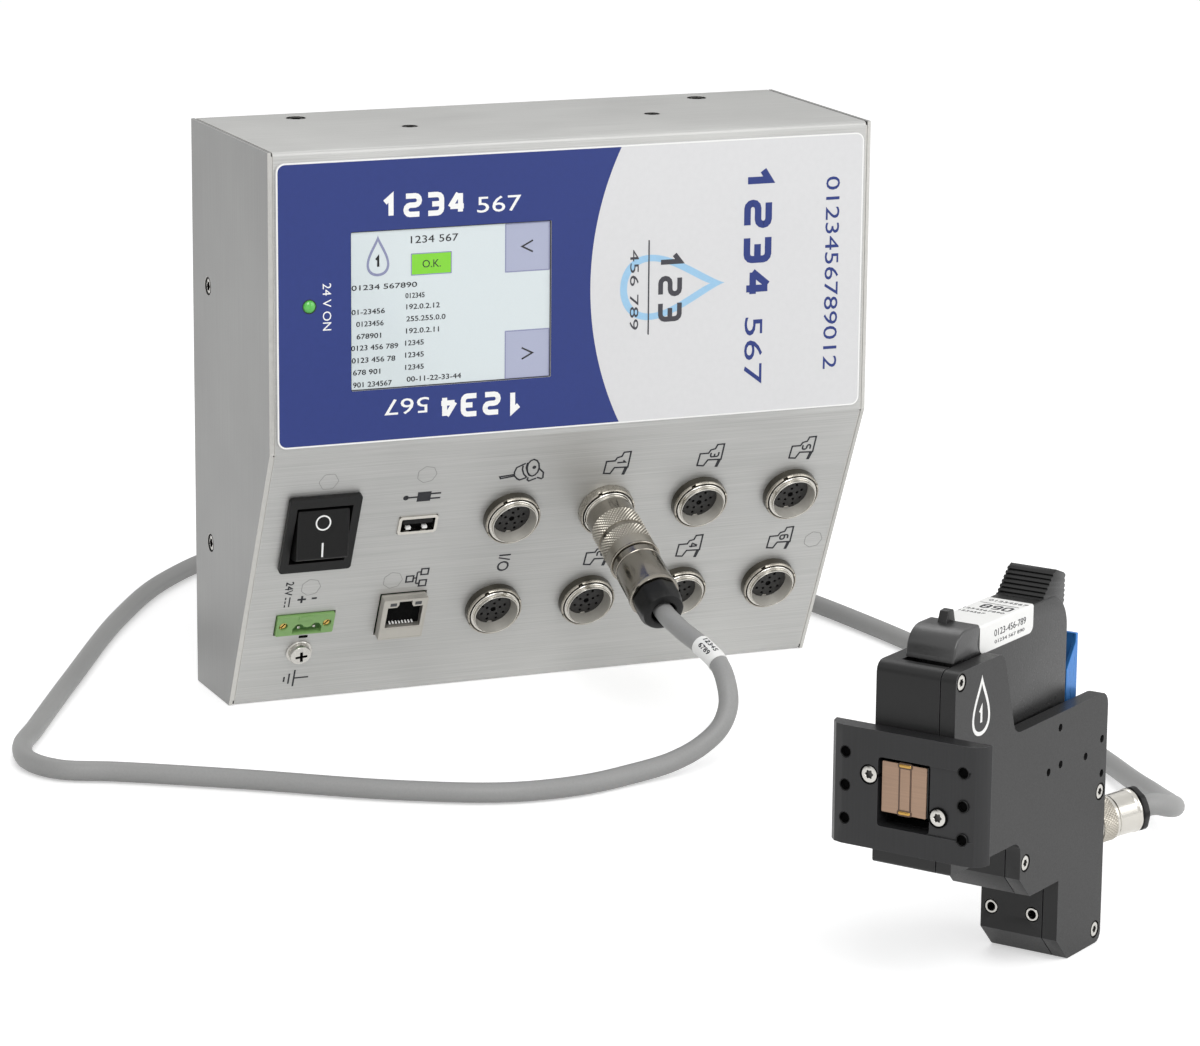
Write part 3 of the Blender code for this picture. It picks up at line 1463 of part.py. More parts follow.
def plate_screw_cutter(head):
    """Sunk seats and holes for the front plate's screws."""
    play = HEAD_SCREW_RING
    head_radius = PLATE_SCREW_HEAD + play
    reach = PLATE_THICKNESS + HEAD_SCREW_LENGTH
    hole = turned(
        "plate_screw_hole",
        [
            (0, HEAD_SCREW_SINK),
            (head_radius, HEAD_SCREW_SINK),
            (head_radius, -HEAD_SCREW_SINK - GAP),
            (HEAD_SCREW_SHANK + GAP, -HEAD_SCREW_SINK - GAP),
            (HEAD_SCREW_SHANK + GAP, -reach - GAP),
            (0, -reach - GAP),
        ],
        SCREW_ROUND,
    )
    return cutter(copies("plate_screw_holes", hole, spots(plate_screw_places(), (pi / 2, 0, 0))), head)


def nose_window_cutter(head):
    """The window through the nose wall, taller than the front plate's so that the snout can tilt."""
    window = box(
        "nose_window",
        (-WINDOW_HALF_WIDTH, -NOSE_WALL, WINDOW_BOTTOM),
        (head_split(), 2 * NOSE_WALL, WINDOW_TOP + WINDOW_RELIEF),
    )
    return cutter(window, head)


def head_body(head, port):
    """The block with the left wall, the nose wall, the rear wall and the foot."""
    body = prism("head_body", head_outline(), -HEAD_WIDTH / 2, head_split() - GAP / 2, "X")
    place(body, black_anodised(), head)
    pocket = prism("cartridge_pocket", pocket_outline(), -head_split(), HEAD_WIDTH, "X")
    inserts = rod("foot_insert_hole", INSERT_RADIUS + GAP, -INSERT_DEPTH - GAP, INSERT_DEPTH, ROUND)
    insert_holes = copies("foot_insert_holes", inserts, spots(foot_insert_places(), (pi / 2, 0, 0)))
    cut(body, cutter(pocket, head))
    cut(body, port_boss(port, REAR_BOSS_RADIUS), operation="UNION")
    cut(
        body,
        nose_window_cutter(head),
        port_hole(port),
        head_screw_cutter(head),
        latch_pin_cutter(head),
        plate_screw_cutter(head),
        cutter(insert_holes, head),
    )
    return body


def foot_insert_places():
    """Two places on the foot's front face, centred on the body."""
    middle = (head_split() - HEAD_WIDTH / 2) / 2
    return [(middle + side * INSERT_SPREAD / 2, FOOT_FRONT, INSERT_W) for side in (-1, 1)]


def side_plate(head, port):
    """The plate that closes the right side, with its sunk screws and bracket holes."""
    plate = prism("side_plate", head_outline(), head_split() + GAP / 2, HEAD_WIDTH / 2, "X")
    place(plate, black_anodised(), head)
    hole = rod("bracket_hole", BRACKET_HOLE_RADIUS, 0, HEAD_WIDTH, 8)
    holes = copies("bracket_holes", hole, spots([(0, v, w) for v, w in BRACKET_HOLES], (0, pi / 2, 0)))
    cut(
        plate,
        cutter(holes, head),
        port_boss(port, REAR_BOSS_RADIUS + GAP),
        head_screw_cutter(head),
        latch_pin_cutter(head),
        plate_screw_cutter(head),
    )
    return plate


def head_screws(head):
    """Four screws in the side plate and two in the front plate."""
    side = cheese_screw("side_plate_screw", HEAD_SCREW_HEAD, HEAD_SCREW_LENGTH)
    names = ("plate_screw_nose", "plate_screw_rear", "plate_screw_block", "plate_screw_foot")
    repeated(names, side, zinc(), head, head_screw_places(), (0, pi / 2, 0))
    front = cheese_screw("front_plate_screw", PLATE_SCREW_HEAD, PLATE_THICKNESS + HEAD_SCREW_LENGTH)
    names = ("front_screw_left", "front_screw_right")
    repeated(names, front, zinc(), head, plate_screw_places(), (pi / 2, 0, 0))


def foot_inserts(head):
    """Two threaded bushes in the foot."""
    profile = [
        (INSERT_RADIUS, 0),
        (INSERT_RADIUS, -INSERT_DEPTH),
        (INSERT_BORE, -INSERT_DEPTH),
        (INSERT_BORE, 0),
    ]
    pattern = turned("foot_insert", profile, SCREW_ROUND, closed=True)
    names = ("foot_insert_left", "foot_insert_right")
    repeated(names, pattern, zinc(), head, foot_insert_places(), (pi / 2, 0, 0))


def front_plate(head):
    """The mounting plate on the nose, with round front edges, window, channel and threaded holes."""
    front = -PLATE_THICKNESS - GAP
    outline = rounded(
        [
            (-PLATE_HALF_WIDTH, -GAP, 0),
            (-PLATE_HALF_WIDTH, front, PLATE_EDGE),
            (PLATE_HALF_WIDTH, front, PLATE_EDGE),
            (PLATE_HALF_WIDTH, -GAP, 0),
        ]
    )
    plate = prism("front_plate", outline, PLATE_BOTTOM, PLATE_TOP)
    place(plate, black_anodised(), head)
    corners = [
        (-WINDOW_HALF_WIDTH, WINDOW_BOTTOM, WINDOW_CORNER),
        (WINDOW_HALF_WIDTH, WINDOW_BOTTOM, WINDOW_CORNER),
        (WINDOW_HALF_WIDTH, WINDOW_TOP, WINDOW_CORNER),
        (-WINDOW_HALF_WIDTH, WINDOW_TOP, WINDOW_CORNER),
    ]
    window = prism("plate_window", rounded(corners), -2 * PLATE_THICKNESS, PLATE_THICKNESS, "Y")
    channel = box(
        "plate_channel",
        (WINDOW_HALF_WIDTH - WINDOW_CORNER, front - PLATE_THICKNESS, WINDOW_BOTTOM),
        (2 * PLATE_HALF_WIDTH, front + CHANNEL_DEPTH, WINDOW_TOP),
    )
    places = [
        (side * PLATE_HOLE_U, 0, PLATE_HOLE_W + step * PLATE_HOLE_PITCH)
        for side in (-1, 1)
        for step in (-1, 0, 1)
    ]
    hole = rod("plate_hole", PLATE_HOLE_RADIUS, -2 * PLATE_THICKNESS, 2 * PLATE_THICKNESS)
    holes = copies("plate_holes", hole, spots(places, (pi / 2, 0, 0)))
    cut(plate, cutter(window, head), cutter(channel, head), cutter(holes, head), plate_screw_cutter(head))
    return plate


def cartridge_outline():
    """The cartridge's side outline in (v, w), set back under its overhang so that it can tilt."""
    over = NOSE_TOP + GAP
    return rounded(
        [
            (CARTRIDGE_OVERHANG, over, 0),
            (CARTRIDGE_SETBACK, over, 0),
            (CARTRIDGE_FRONT, SNOUT_TOP, 0),
            (CARTRIDGE_FRONT, CARTRIDGE_BOTTOM, CARTRIDGE_EDGE),
            (CARTRIDGE_TOE, CARTRIDGE_BOTTOM, CARTRIDGE_BEND),
            (CARTRIDGE_REAR, SNOUT_TOP, CARTRIDGE_BEND),
            (CARTRIDGE_REAR, CARTRIDGE_TOP, CARTRIDGE_REAR_RADIUS),
            (BUMP_END, CARTRIDGE_TOP, 0),
            (BUMP_REAR, CARTRIDGE_BUMP, 0),
            (BUMP_FRONT, CARTRIDGE_BUMP, CARTRIDGE_BEND),
            (BROW_V, BROW_W, CARTRIDGE_BEND),
        ]
    )


def snout_middle():
    return (SNOUT_BOTTOM + SNOUT_TOP) / 2


def cartridge(head):
    """The ink cartridge with its snout, grip and fin, and the nozzle plate on the snout."""
    pivot = (0, 0, snout_middle())
    tilt = frame("cartridge_pivot", head, pivot)
    home = tuple(-value for value in pivot)
    body = prism("cartridge", cartridge_outline(), -CARTRIDGE_WIDTH / 2, CARTRIDGE_WIDTH / 2, "X")
    body.data.transform(Matrix.Translation(home))
    place(body, black_plastic(), tilt)
    snout = box(
        "cartridge_snout",
        (-SNOUT_WIDTH / 2, -SNOUT_FRONT, SNOUT_BOTTOM),
        (SNOUT_WIDTH / 2, CARTRIDGE_FRONT + ROOT, SNOUT_TOP),
    )
    top = CARTRIDGE_TOP + GRIP_RISE
    lean = GRIP_START + GRIP_LEAN
    grip_outline = [
        (GRIP_START, CARTRIDGE_TOP - ROOT),
        (lean + GRIP_DEPTH, CARTRIDGE_TOP - GRIP_TAIL),
        (lean + GRIP_DEPTH, top - GRIP_DROP),
        (lean, top),
    ]
    grip = prism("cartridge_grip", grip_outline, -GRIP_WIDTH / 2, GRIP_WIDTH / 2, "X")
    fin_outline = [
        (FIN_START, CARTRIDGE_TOP - ROOT),
        (FIN_START + FIN_LENGTH, CARTRIDGE_TOP - ROOT),
        (FIN_START + FIN_LENGTH - FIN_TAPER, CARTRIDGE_BUMP + FIN_RISE),
        (FIN_START + FIN_TAPER, CARTRIDGE_BUMP + FIN_RISE),
    ]
    fin = prism("cartridge_fin", fin_outline, FIN_U - FIN_WIDTH / 2, FIN_U + FIN_WIDTH / 2, "X")
    pieces = [cutter(piece, tilt, home) for piece in (snout, grip, fin)]
    cut(body, *pieces, operation="UNION")
    face = -SNOUT_FRONT - GAP
    nozzle = box(
        "nozzle_plate",
        (-SNOUT_WIDTH / 2 + NOZZLE_MARGIN, face - NOZZLE_THICKNESS, SNOUT_BOTTOM + NOZZLE_MARGIN),
        (SNOUT_WIDTH / 2 - NOZZLE_MARGIN, face, SNOUT_TOP - NOZZLE_MARGIN),
    )
    nozzle.data.transform(Matrix.Translation(home))
    place(nozzle, finish("nozzle_copper", (0.55, 0.35, 0.24), 0.4, 0.6), tilt)


def latch(head):
    """The blue channel latch behind the cartridge, its pin in the side walls and its torsion spring."""
    pivot = (0, LATCH_PIVOT_V, LATCH_PIVOT_W)
    swing = frame("latch_pivot", head, pivot)
    home = tuple(-value for value in pivot)
    half = LATCH_WIDTH / 2
    flange = [
        (LATCH_FRONT, LATCH_BOTTOM),
        (LATCH_BACK, LATCH_BOTTOM),
        (LATCH_BACK, LATCH_TOP),
        (LATCH_BACK - LATCH_SHEET, LATCH_TOP),
        (LATCH_BACK - LATCH_SHEET, LATCH_SLOPE_TOP),
        (LATCH_FRONT, LATCH_SLOPE_BOTTOM),
    ]
    lever = prism("latch", flange, -half, half, "X")
    lever.data.transform(Matrix.Translation(home))
    place(lever, blue_anodised(), swing)
    channel = box(
        "latch_channel",
        (-half + LATCH_SHEET, -HEAD_REAR, LATCH_BOTTOM - LATCH_SHEET),
        (half - LATCH_SHEET, LATCH_BACK - LATCH_SHEET, LATCH_SLOPE_TOP),
    )
    bore = rod("latch_bore", LATCH_PIN + PIVOT_PLAY, -LATCH_WIDTH, LATCH_WIDTH)
    cut(lever, cutter(channel, swing, home), cutter(bore, swing, (0, 0, 0), (0, pi / 2, 0)))
    reach = head_split() + LATCH_PIN_REACH
    pin = rod("latch_pin", LATCH_PIN, -reach, reach)
    place(pin, zinc(), head, pivot, (0, pi / 2, 0))
    wire = helix_wire("latch_spring", SPRING_RADIUS, SPRING_WIRE, SPRING_TURNS, SPRING_PITCH)
    place(wire, zinc(), head, pivot, (0, pi / 2, 0))


def contact_block(head):
    """The cartridge's contact block on the pocket floor."""
    bottom = POCKET_FLOOR + GAP
    block = box(
        "contact_block",
        (-CONTACT_WIDTH / 2, CONTACT_START, bottom),
        (CONTACT_WIDTH / 2, CONTACT_START + CONTACT_LENGTH, bottom + CONTACT_HEIGHT),
    )
    place(block, black_plastic(), head)


def main():
    start_scene()
    case = frame("case_frame", None, (-BOX_WIDTH / 2, -(BASE_SETBACK + BOX_DEPTH) / 2, 0))
    slope = frame("slope_frame", case, (0, 0, BEND_HEIGHT), (pi / 2 + atan2(BASE_SETBACK, BEND_HEIGHT), 0, 0))
    front_cover(case, slope)
    back_pan(case)
    case_screws(case)
    chassis(case)
    control_board(case)
    panel_boards(slope)
    front_label(case)
    display(case)
    status_led(case)
    power_switch(slope)
    lan_socket(slope)
    usb_socket(slope)
    power_terminal(slope)
    earth_screw(slope)
    connector_panel(slope)
    front_port = frame("front_port_frame", slope, socket_place(PLUGGED_ROW, PLUGGED_COLUMN))
    plug("front_plug", PANEL_CONNECTOR, front_port)
    head = frame("head_frame", None, (HEAD_X, HEAD_Y, 0), (0, 0, HEAD_TURN))
    port = rear_port(head)
    head_body(head, port)
    side_plate(head, port)
    front_plate(head)
    head_screws(head)
    foot_inserts(head)
    cartridge(head)
    latch(head)
    contact_block(head)
    panel_socket("head_socket", HEAD_CONNECTOR, port)
    plug("head_plug", HEAD_CONNECTOR, port)
    bpy.context.view_layer.update()
    cable(front_port, port)


if __name__ == "__main__":
    main()
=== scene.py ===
"""The looks of a date code inkjet printer, laid out as a Blender add-on.

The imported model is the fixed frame. Each operator adds or finishes one group of pieces round it.
Shapes are worked out in millimetres, in the axes of a Place, and become metres in build().
"""

import json
import math
from collections import namedtuple

import bmesh
import bpy
import numpy as np
from bpy.props import FloatProperty, FloatVectorProperty, IntProperty, PointerProperty
from bpy.types import Operator, Panel, PropertyGroup
from mathutils import Euler, Matrix, Vector

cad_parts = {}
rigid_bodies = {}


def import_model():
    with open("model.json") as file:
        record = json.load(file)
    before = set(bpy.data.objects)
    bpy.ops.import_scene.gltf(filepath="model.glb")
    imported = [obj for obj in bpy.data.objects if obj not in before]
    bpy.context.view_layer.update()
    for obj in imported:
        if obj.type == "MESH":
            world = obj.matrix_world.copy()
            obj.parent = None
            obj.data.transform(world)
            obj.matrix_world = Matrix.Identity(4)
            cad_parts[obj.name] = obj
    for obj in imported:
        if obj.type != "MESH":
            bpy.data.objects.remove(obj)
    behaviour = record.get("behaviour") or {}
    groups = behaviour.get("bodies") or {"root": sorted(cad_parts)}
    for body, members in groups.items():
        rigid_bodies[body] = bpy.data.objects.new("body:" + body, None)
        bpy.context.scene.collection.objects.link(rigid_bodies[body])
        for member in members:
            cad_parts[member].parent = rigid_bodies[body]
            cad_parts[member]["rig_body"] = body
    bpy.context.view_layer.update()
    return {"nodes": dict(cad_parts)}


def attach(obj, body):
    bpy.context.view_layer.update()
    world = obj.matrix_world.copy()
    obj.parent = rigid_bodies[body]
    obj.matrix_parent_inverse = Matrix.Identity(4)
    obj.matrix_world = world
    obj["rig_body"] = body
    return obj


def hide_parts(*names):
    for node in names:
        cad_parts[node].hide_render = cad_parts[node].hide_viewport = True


bl_info = {
    "name": "Date code inkjet printer looks",
    "version": (1, 0, 0),
    "blender": (4, 5, 0),
    "location": "View3D > Sidebar > Printer",
    "description": "Adds the finished surfaces of a date code inkjet printer to its packed frame",
    "category": "Object",
}

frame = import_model()
NODES = frame["nodes"]
MM = 0.001
TAU = 2 * math.pi
QUARTER = math.pi / 2

# A place: an origin in millimetres in the row frame, and the local axes as rows
Place = namedtuple("Place", "origin axes")
# A shape: points in millimetres, arrays of faces, and the number of its finish
Shape = namedtuple("Shape", "points faces finish")

CASE_CORNER = np.array([-107.0, -63.1, 0.0])
CASE_WIDTH = 214.0
CASE_HEIGHT = 195.3
BEND_HEIGHT = 96.3
TILT = math.atan2(45.9, BEND_HEIGHT)
HEAD_ORIGIN = np.array([-31.74, -382.68, 0.0])
HEAD_TURN = math.radians(-56)
ACROSS = np.array([math.cos(HEAD_TURN), math.sin(HEAD_TURN), 0.0])
BACK = np.array([-math.sin(HEAD_TURN), math.cos(HEAD_TURN), 0.0])
UP = np.array([0.0, 0.0, 1.0])


def place(origin, *axes):
    return Place(np.array(origin, float), np.array(axes, float))


FRONT = place(CASE_CORNER, (1, 0, 0), (0, 0, 1), (0, -1, 0))
TOP = place(CASE_CORNER + (0, 0, CASE_HEIGHT), (1, 0, 0), (0, 1, 0), (0, 0, 1))
LEFT = place(CASE_CORNER, (0, -1, 0), (0, 0, 1), (-1, 0, 0))
RIGHT = place(CASE_CORNER + (CASE_WIDTH, 0, 0), (0, 1, 0), (0, 0, 1), (1, 0, 0))
SLOPE = place(
    CASE_CORNER + (0, 0, BEND_HEIGHT),
    (1, 0, 0),
    (0, -math.sin(TILT), math.cos(TILT)),
    (0, -math.cos(TILT), -math.sin(TILT)),
)
HEAD = place(HEAD_ORIGIN, ACROSS, BACK, UP)
HEAD_SIDE = place(HEAD_ORIGIN, BACK, UP, ACROSS)
HEAD_NOSE = place(HEAD_ORIGIN, ACROSS, UP, -BACK)


def moved(base, a, b, c=0.0, turn=None):
    """A place shifted by (a, b, c) in its own axes, its axes then turned by the rows of a matrix."""
    axes = base.axes if turn is None else np.asarray(turn, float) @ base.axes
    return Place(base.origin + np.array([a, b, c], float) @ base.axes, axes)


def on_slope(x, s):
    """The place on the connector panel that is x across and s down the slope."""
    return moved(SLOPE, x, -s)


def down(points):
    """(x, s) points as (x, -s)."""
    return np.array(points, float) * (1, -1)


def settle(shape, base):
    """A shape's points taken from a place's axes into the row frame."""
    return Shape(shape.points @ base.axes + base.origin, shape.faces, shape.finish)


def unit(vectors):
    return vectors / np.maximum(np.linalg.norm(vectors, axis=-1, keepdims=True), 1e-12)


def angles(count):
    """A full turn in even steps."""
    return np.arange(count) * TAU / count


def rotation(degrees):
    """The matrix that turns (a, b) rows anticlockwise."""
    c, s = math.cos(math.radians(degrees)), math.sin(math.radians(degrees))
    return np.array([[c, s], [-s, c]])


def polar(radius, angle, height):
    """Points (r cos t, r sin t, h), for arrays that are spread to one form."""
    radius, angle, height = np.broadcast_arrays(radius, angle, height)
    return np.stack([radius * np.cos(angle), radius * np.sin(angle), height], -1)


def grid(points, around=True, along=False, caps=False, finish=0):
    """Quads between the neighbours of a (rows, columns, 3) array of points.

    around joins the last column to the first, along the last row to the first, and caps fills the end rows.
    """
    rows, columns = points.shape[:2]
    i, j = np.meshgrid(
        np.arange(rows if along else rows - 1), np.arange(columns if around else columns - 1), indexing="ij"
    )
    below, beside = (i + 1) % rows, (j + 1) % columns
    quads = np.stack([i * columns + j, i * columns + beside, below * columns + beside, below * columns + j], -1)
    faces = [quads.reshape(-1, 4)]
    if caps:
        ring = np.arange(columns)
        faces += [ring[None, ::-1], ring[None] + (rows - 1) * columns]
    return Shape(points.reshape(-1, 3), faces, finish)


def softened(corners, steps=5):
    """An outline of (a, b, radius) corners with an arc at each.

    At a corner of half angle q the arc's centre lies radius / sin q along the bisector,
    its ends lie radius / tan q along the sides, and its points go from one end to the other at even angles.
    """
    corners = np.asarray(corners, float)
    here, radius = corners[:, :2], corners[:, 2:]
    before = unit(np.roll(here, 1, 0) - here)
    after = unit(np.roll(here, -1, 0) - here)
    half = np.arccos(np.clip((before * after).sum(1, keepdims=True), -1, 1)) / 2
    half = np.maximum(half, 1e-3)
    centre = here + unit(before + after) * radius / np.sin(half)
    sweep = np.maximum(np.pi - 2 * half, 1e-6)[:, :, None]
    first = (here + before * radius / np.tan(half) - centre)[:, None]
    last = (here + after * radius / np.tan(half) - centre)[:, None]
    t = np.linspace(0, 1, steps + 1)[None, :, None]
    arc = (np.sin((1 - t) * sweep) * first + np.sin(t * sweep) * last) / np.sin(sweep)
    points = (centre[:, None] + arc).reshape(-1, 2)
    return points[np.linalg.norm(points - np.roll(points, 1, 0), axis=1) > 1e-6]


def rectangle(width, height, radius=0.0, centre=(0.0, 0.0)):
    """A rectangle's outline with round corners."""
    signs = np.array([(-1, -1), (1, -1), (1, 1), (-1, 1)])
    corners = np.array(centre) + signs * (width / 2, height / 2)
    return softened(np.column_stack([corners, np.full(4, radius)]))


def circle(radius, count=48, centre=(0.0, 0.0)):
    """Points at even angles on a circle."""
    t = angles(count)
    return np.stack([centre[0] + radius * np.cos(t), centre[1] + radius * np.sin(t)], 1)


def inset(outline, distance):
    """An outline moved inwards along the mean normal of each point's two sides."""
    ahead = np.roll(outline, -1, 0)
    side = unit(ahead - outline)
    normal = np.stack([-side[:, 1], side[:, 0]], 1)
    normal = normal * np.sign((outline[:, 0] * ahead[:, 1] - ahead[:, 0] * outline[:, 1]).sum())
    mean = unit(normal + np.roll(normal, 1, 0))
    return outline + mean * distance / np.maximum((mean * normal).sum(1, keepdims=True), 0.3)


def slab(outline, low, high, soft_low=0.0, soft_high=0.3, steps=3, finish=0):
    """An outline thick from low to high, with round rims.

    Over a quarter turn t, the low rim is inset by r(1 - sin t) at low + r(1 - cos t),
    and the high rim by r(1 - cos t) at high - r(1 - sin t).
    """
    t = np.linspace(0, QUARTER, steps + 1)
    insets = np.concatenate([soft_low * (1 - np.sin(t)), soft_high * (1 - np.cos(t))])
    heights = np.concatenate([low + soft_low * (1 - np.cos(t)), high - soft_high * (1 - np.sin(t))])
    rings = [np.column_stack([inset(outline, d), np.full(len(outline), h)]) for d, h in zip(insets, heights)]
    return grid(np.array(rings), caps=True, finish=finish)


def lathe(profile, segments=64, closed=False, finish=0, shape=1.0):
    """A profile of (radius, height) rows carried round the axis, with its radii times shape."""
    profile = np.asarray(profile, float)
    points = polar(profile[:, :1] * shape, angles(segments), profile[:, 1:2])
    return grid(points, along=closed, finish=finish)


def line(points, width, low=-0.02, high=0.04, closed=False, finish=0):
    """A flat line of some width and thickness: a box section carried along the points, mitred at each."""
    points = np.asarray(points, float)
    side = unit(np.roll(points, -1, 0) - points)
    if not closed:
        side[-1] = side[-2]
    normal = np.stack([-side[:, 1], side[:, 0]], 1)
    before = np.roll(normal, 1, 0)
    if not closed:
        before[0] = normal[0]
    mean = unit(normal + before)
    reach = mean * width / 2 / np.maximum((mean * normal).sum(1, keepdims=True), 0.4)
    corners = [(points + reach, low), (points - reach, low), (points - reach, high), (points + reach, high)]
    rows = np.stack([np.column_stack([p, np.full(len(p), h)]) for p, h in corners], 1)
    return grid(rows, along=closed, caps=not closed, finish=finish)


def linked(name, data):
    """A new object in the scene."""
    thing = bpy.data.objects.new(name, data)
    bpy.context.scene.collection.objects.link(thing)
    return thing


def from_curve(curve, finish):
    """A flat curve's or text's filled and thick mesh as a shape."""
    thing = linked(curve.name, curve)
    bpy.context.view_layer.update()
    evaluated = thing.evaluated_get(bpy.context.evaluated_depsgraph_get())
    mesh = evaluated.to_mesh()
    mesh.calc_loop_triangles()
    points = np.empty(len(mesh.vertices) * 3)
    mesh.vertices.foreach_get("co", points)
    faces = np.empty(len(mesh.loop_triangles) * 3, int)
    mesh.loop_triangles.foreach_get("vertices", faces)
    evaluated.to_mesh_clear()
    bpy.data.objects.remove(thing)
    bpy.data.curves.remove(curve)
    return Shape(points.reshape(-1, 3), [faces.reshape(-1, 3)], finish)


def flat(outlines, low=-0.02, high=0.04, finish=0):
    """Outlines as one filled flat curve, thick from low to high. An outline within another is a hole."""
    curve = bpy.data.curves.new("outline", "CURVE")
    curve.dimensions = "2D"
    curve.fill_mode = "BOTH"
    curve.extrude = (high - low) / 2
    for outline in outlines:
        spline = curve.splines.new("POLY")
        spline.points.add(len(outline) - 1)
        spline.points.foreach_set("co", np.column_stack([outline, np.zeros((len(outline), 2))]).ravel())
        spline.use_cyclic_u = True
    shape = from_curve(curve, finish)
    shape.points[:, 2] += (low + high) / 2
    return shape


CAPITAL = 0.72  # a capital's height as a share of the font's size
FIGURE_GAP = 0.17  # the space between figures as a share of their step
UNDER = 0.006  # how far a second copy lies under the first, so that no two faces meet
# Strokes of plain figures in a unit box, each with True where it closes
STROKES = {
    "0": [(True, ((0, 0), (1, 0), (1, 1), (0, 1)))],
    "1": [(False, ((0.1, 0.72), (0.55, 1), (0.55, 0)))],
    "2": [(False, ((0, 1), (1, 1), (1, 0.5), (0, 0.5), (0, 0), (1, 0)))],
    "3": [(False, ((0, 1), (1, 1), (1, 0), (0, 0))), (False, ((0.3, 0.5), (1, 0.5)))],
    "4": [(False, ((0.75, 1), (0.75, 0))), (False, ((0.6, 1), (-0.02, 0.28))), (False, ((0, 0.3), (1, 0.3)))],
    "5": [(False, ((1, 1), (0, 1), (0, 0.55), (1, 0.55), (1, 0), (0, 0)))],
    "6": [(False, ((0.9, 1), (0, 1), (0, 0), (1, 0), (1, 0.55), (0, 0.55)))],
    "8": [(True, ((0, 0), (1, 0), (1, 1), (0, 1))), (False, ((0.05, 0.52), (0.95, 0.52)))],
    "9": [(False, ((0.1, 0), (1, 0), (1, 1), (0, 1), (0, 0.45), (1, 0.45)))],
}
STRAIGHT = "14"  # the figures that have no bends


def bolder(shape, by):
    """A shape with a copy beside it, moved by that much both ways in its plane and a little lower."""
    copy = shape.points + (by, by, -UNDER)
    faces = [np.concatenate([block, block + len(shape.points)]) for block in shape.faces]
    return Shape(np.concatenate([shape.points - (by, 0, 0), copy]), faces, shape.finish)


def lettering(text, width, height, centre, turn=0.0, low=-0.02, high=0.04, finish=0):
    """Thin figures or letters of that width and height, centred on a point and turned in their plane."""
    curve = bpy.data.curves.new("lettering", "FONT")
    curve.body = text
    curve.size = height / CAPITAL
    curve.extrude = (high - low) / 2
    curve.resolution_u = 3
    shape = from_curve(curve, finish)
    least, most = shape.points[:, :2].min(0), shape.points[:, :2].max(0)
    shape.points[:, :2] = (shape.points[:, :2] - (least + most) / 2) * (width / (most[0] - least[0]), 1.0)
    shape.points[:, :2] = shape.points[:, :2] @ rotation(turn) + centre
    shape.points[:, 2] += (low + high) / 2
    return shape


def figures(text, width, height, centre, turn, stroke, low=-0.02, high=0.04, finish=0):
    """Plain figures of that width together, drawn with strokes, centred on a point and turned in their plane.

    Each further stroke of a figure is a little lower, so that no two faces meet.
    """
    step = width / (len(text) - FIGURE_GAP)
    box = np.array([step * (1 - FIGURE_GAP) - stroke, height - stroke])
    bend = min(max(0.34 * min(box), 0.56 * stroke), 0.24 * box[1], 0.48 * box[0])
    shapes = []
    for row, figure in enumerate(text):
        for order, (closed, points) in enumerate(STROKES[figure]):
            curve = np.full(len(points), 0 if figure in STRAIGHT else bend)
            if not closed:
                curve[[0, -1]] = 0
            path = softened(np.column_stack([np.array(points) * box, curve]), 3)
            path = path + (row * step + stroke / 2 - width / 2, stroke / 2 - height / 2)
            path = path @ rotation(turn) + centre
            shapes.append(line(path, stroke, low, high - 0.008 * order, closed=closed, finish=finish))
    return shapes


def ink_drop(size, centre, turn=0.0, count=72):
    """A ring in the shape of a drop: two outlines, the inner one smaller and lower.

    across = sin t * |sin(t / 2)|^1.6 * 0.42 of the size, along = cos t * half the size.
    """
    t = np.linspace(0, TAU, count, endpoint=False)
    drop = np.stack([np.sin(t) * np.abs(np.sin(t / 2)) ** 1.6 * 0.42, np.cos(t) / 2], 1)
    inner = drop * 0.8 + (0, -0.035)
    return [drop * size @ rotation(turn) + centre, (inner * size @ rotation(turn) + centre)[::-1]]


def build(name, shapes, finishes, base=None, replaced=(), body="base", sharp=32.0):
    """One piece made of shapes: joined, merged, turned outwards, shaded, and tied to its body."""
    settled = [shape if base is None else settle(shape, base) for shape in shapes]
    starts = np.cumsum([0] + [len(shape.points) for shape in settled])
    faces, numbers = [], []
    for start, shape in zip(starts, settled):
        for block in shape.faces:
            faces += (block + start).tolist()
            numbers += [shape.finish] * len(block)
    mesh = bpy.data.meshes.new(name)
    mesh.from_pydata((np.concatenate([s.points for s in settled]) * MM).tolist(), [], faces)
    for finish in finishes:
        mesh.materials.append(material(finish))
    mesh.polygons.foreach_set("material_index", np.array(numbers, np.int32))
    merge(mesh, sharp)
    return piece(name, mesh, body, replaced)


def merge(mesh, sharp=32.0, flatten=False):
    """Merges doubles, turns faces outwards and shades the round ones smooth."""
    work = bmesh.new()
    work.from_mesh(mesh)
    bmesh.ops.remove_doubles(work, verts=work.verts, dist=1e-6)
    if flatten:
        bmesh.ops.dissolve_limit(work, angle_limit=math.radians(0.5), verts=work.verts, edges=work.edges)
    bmesh.ops.recalc_face_normals(work, faces=work.faces)
    work.to_mesh(mesh)
    work.free()
    mesh.shade_smooth()
    mesh.set_sharp_from_angle(angle=math.radians(sharp))


def piece(name, mesh, body, replaced=()):
    """An object for a mesh, with its body and replaced nodes."""
    thing = linked(name, mesh)
    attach(thing, body)
    if replaced:
        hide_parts(*replaced)
    return thing


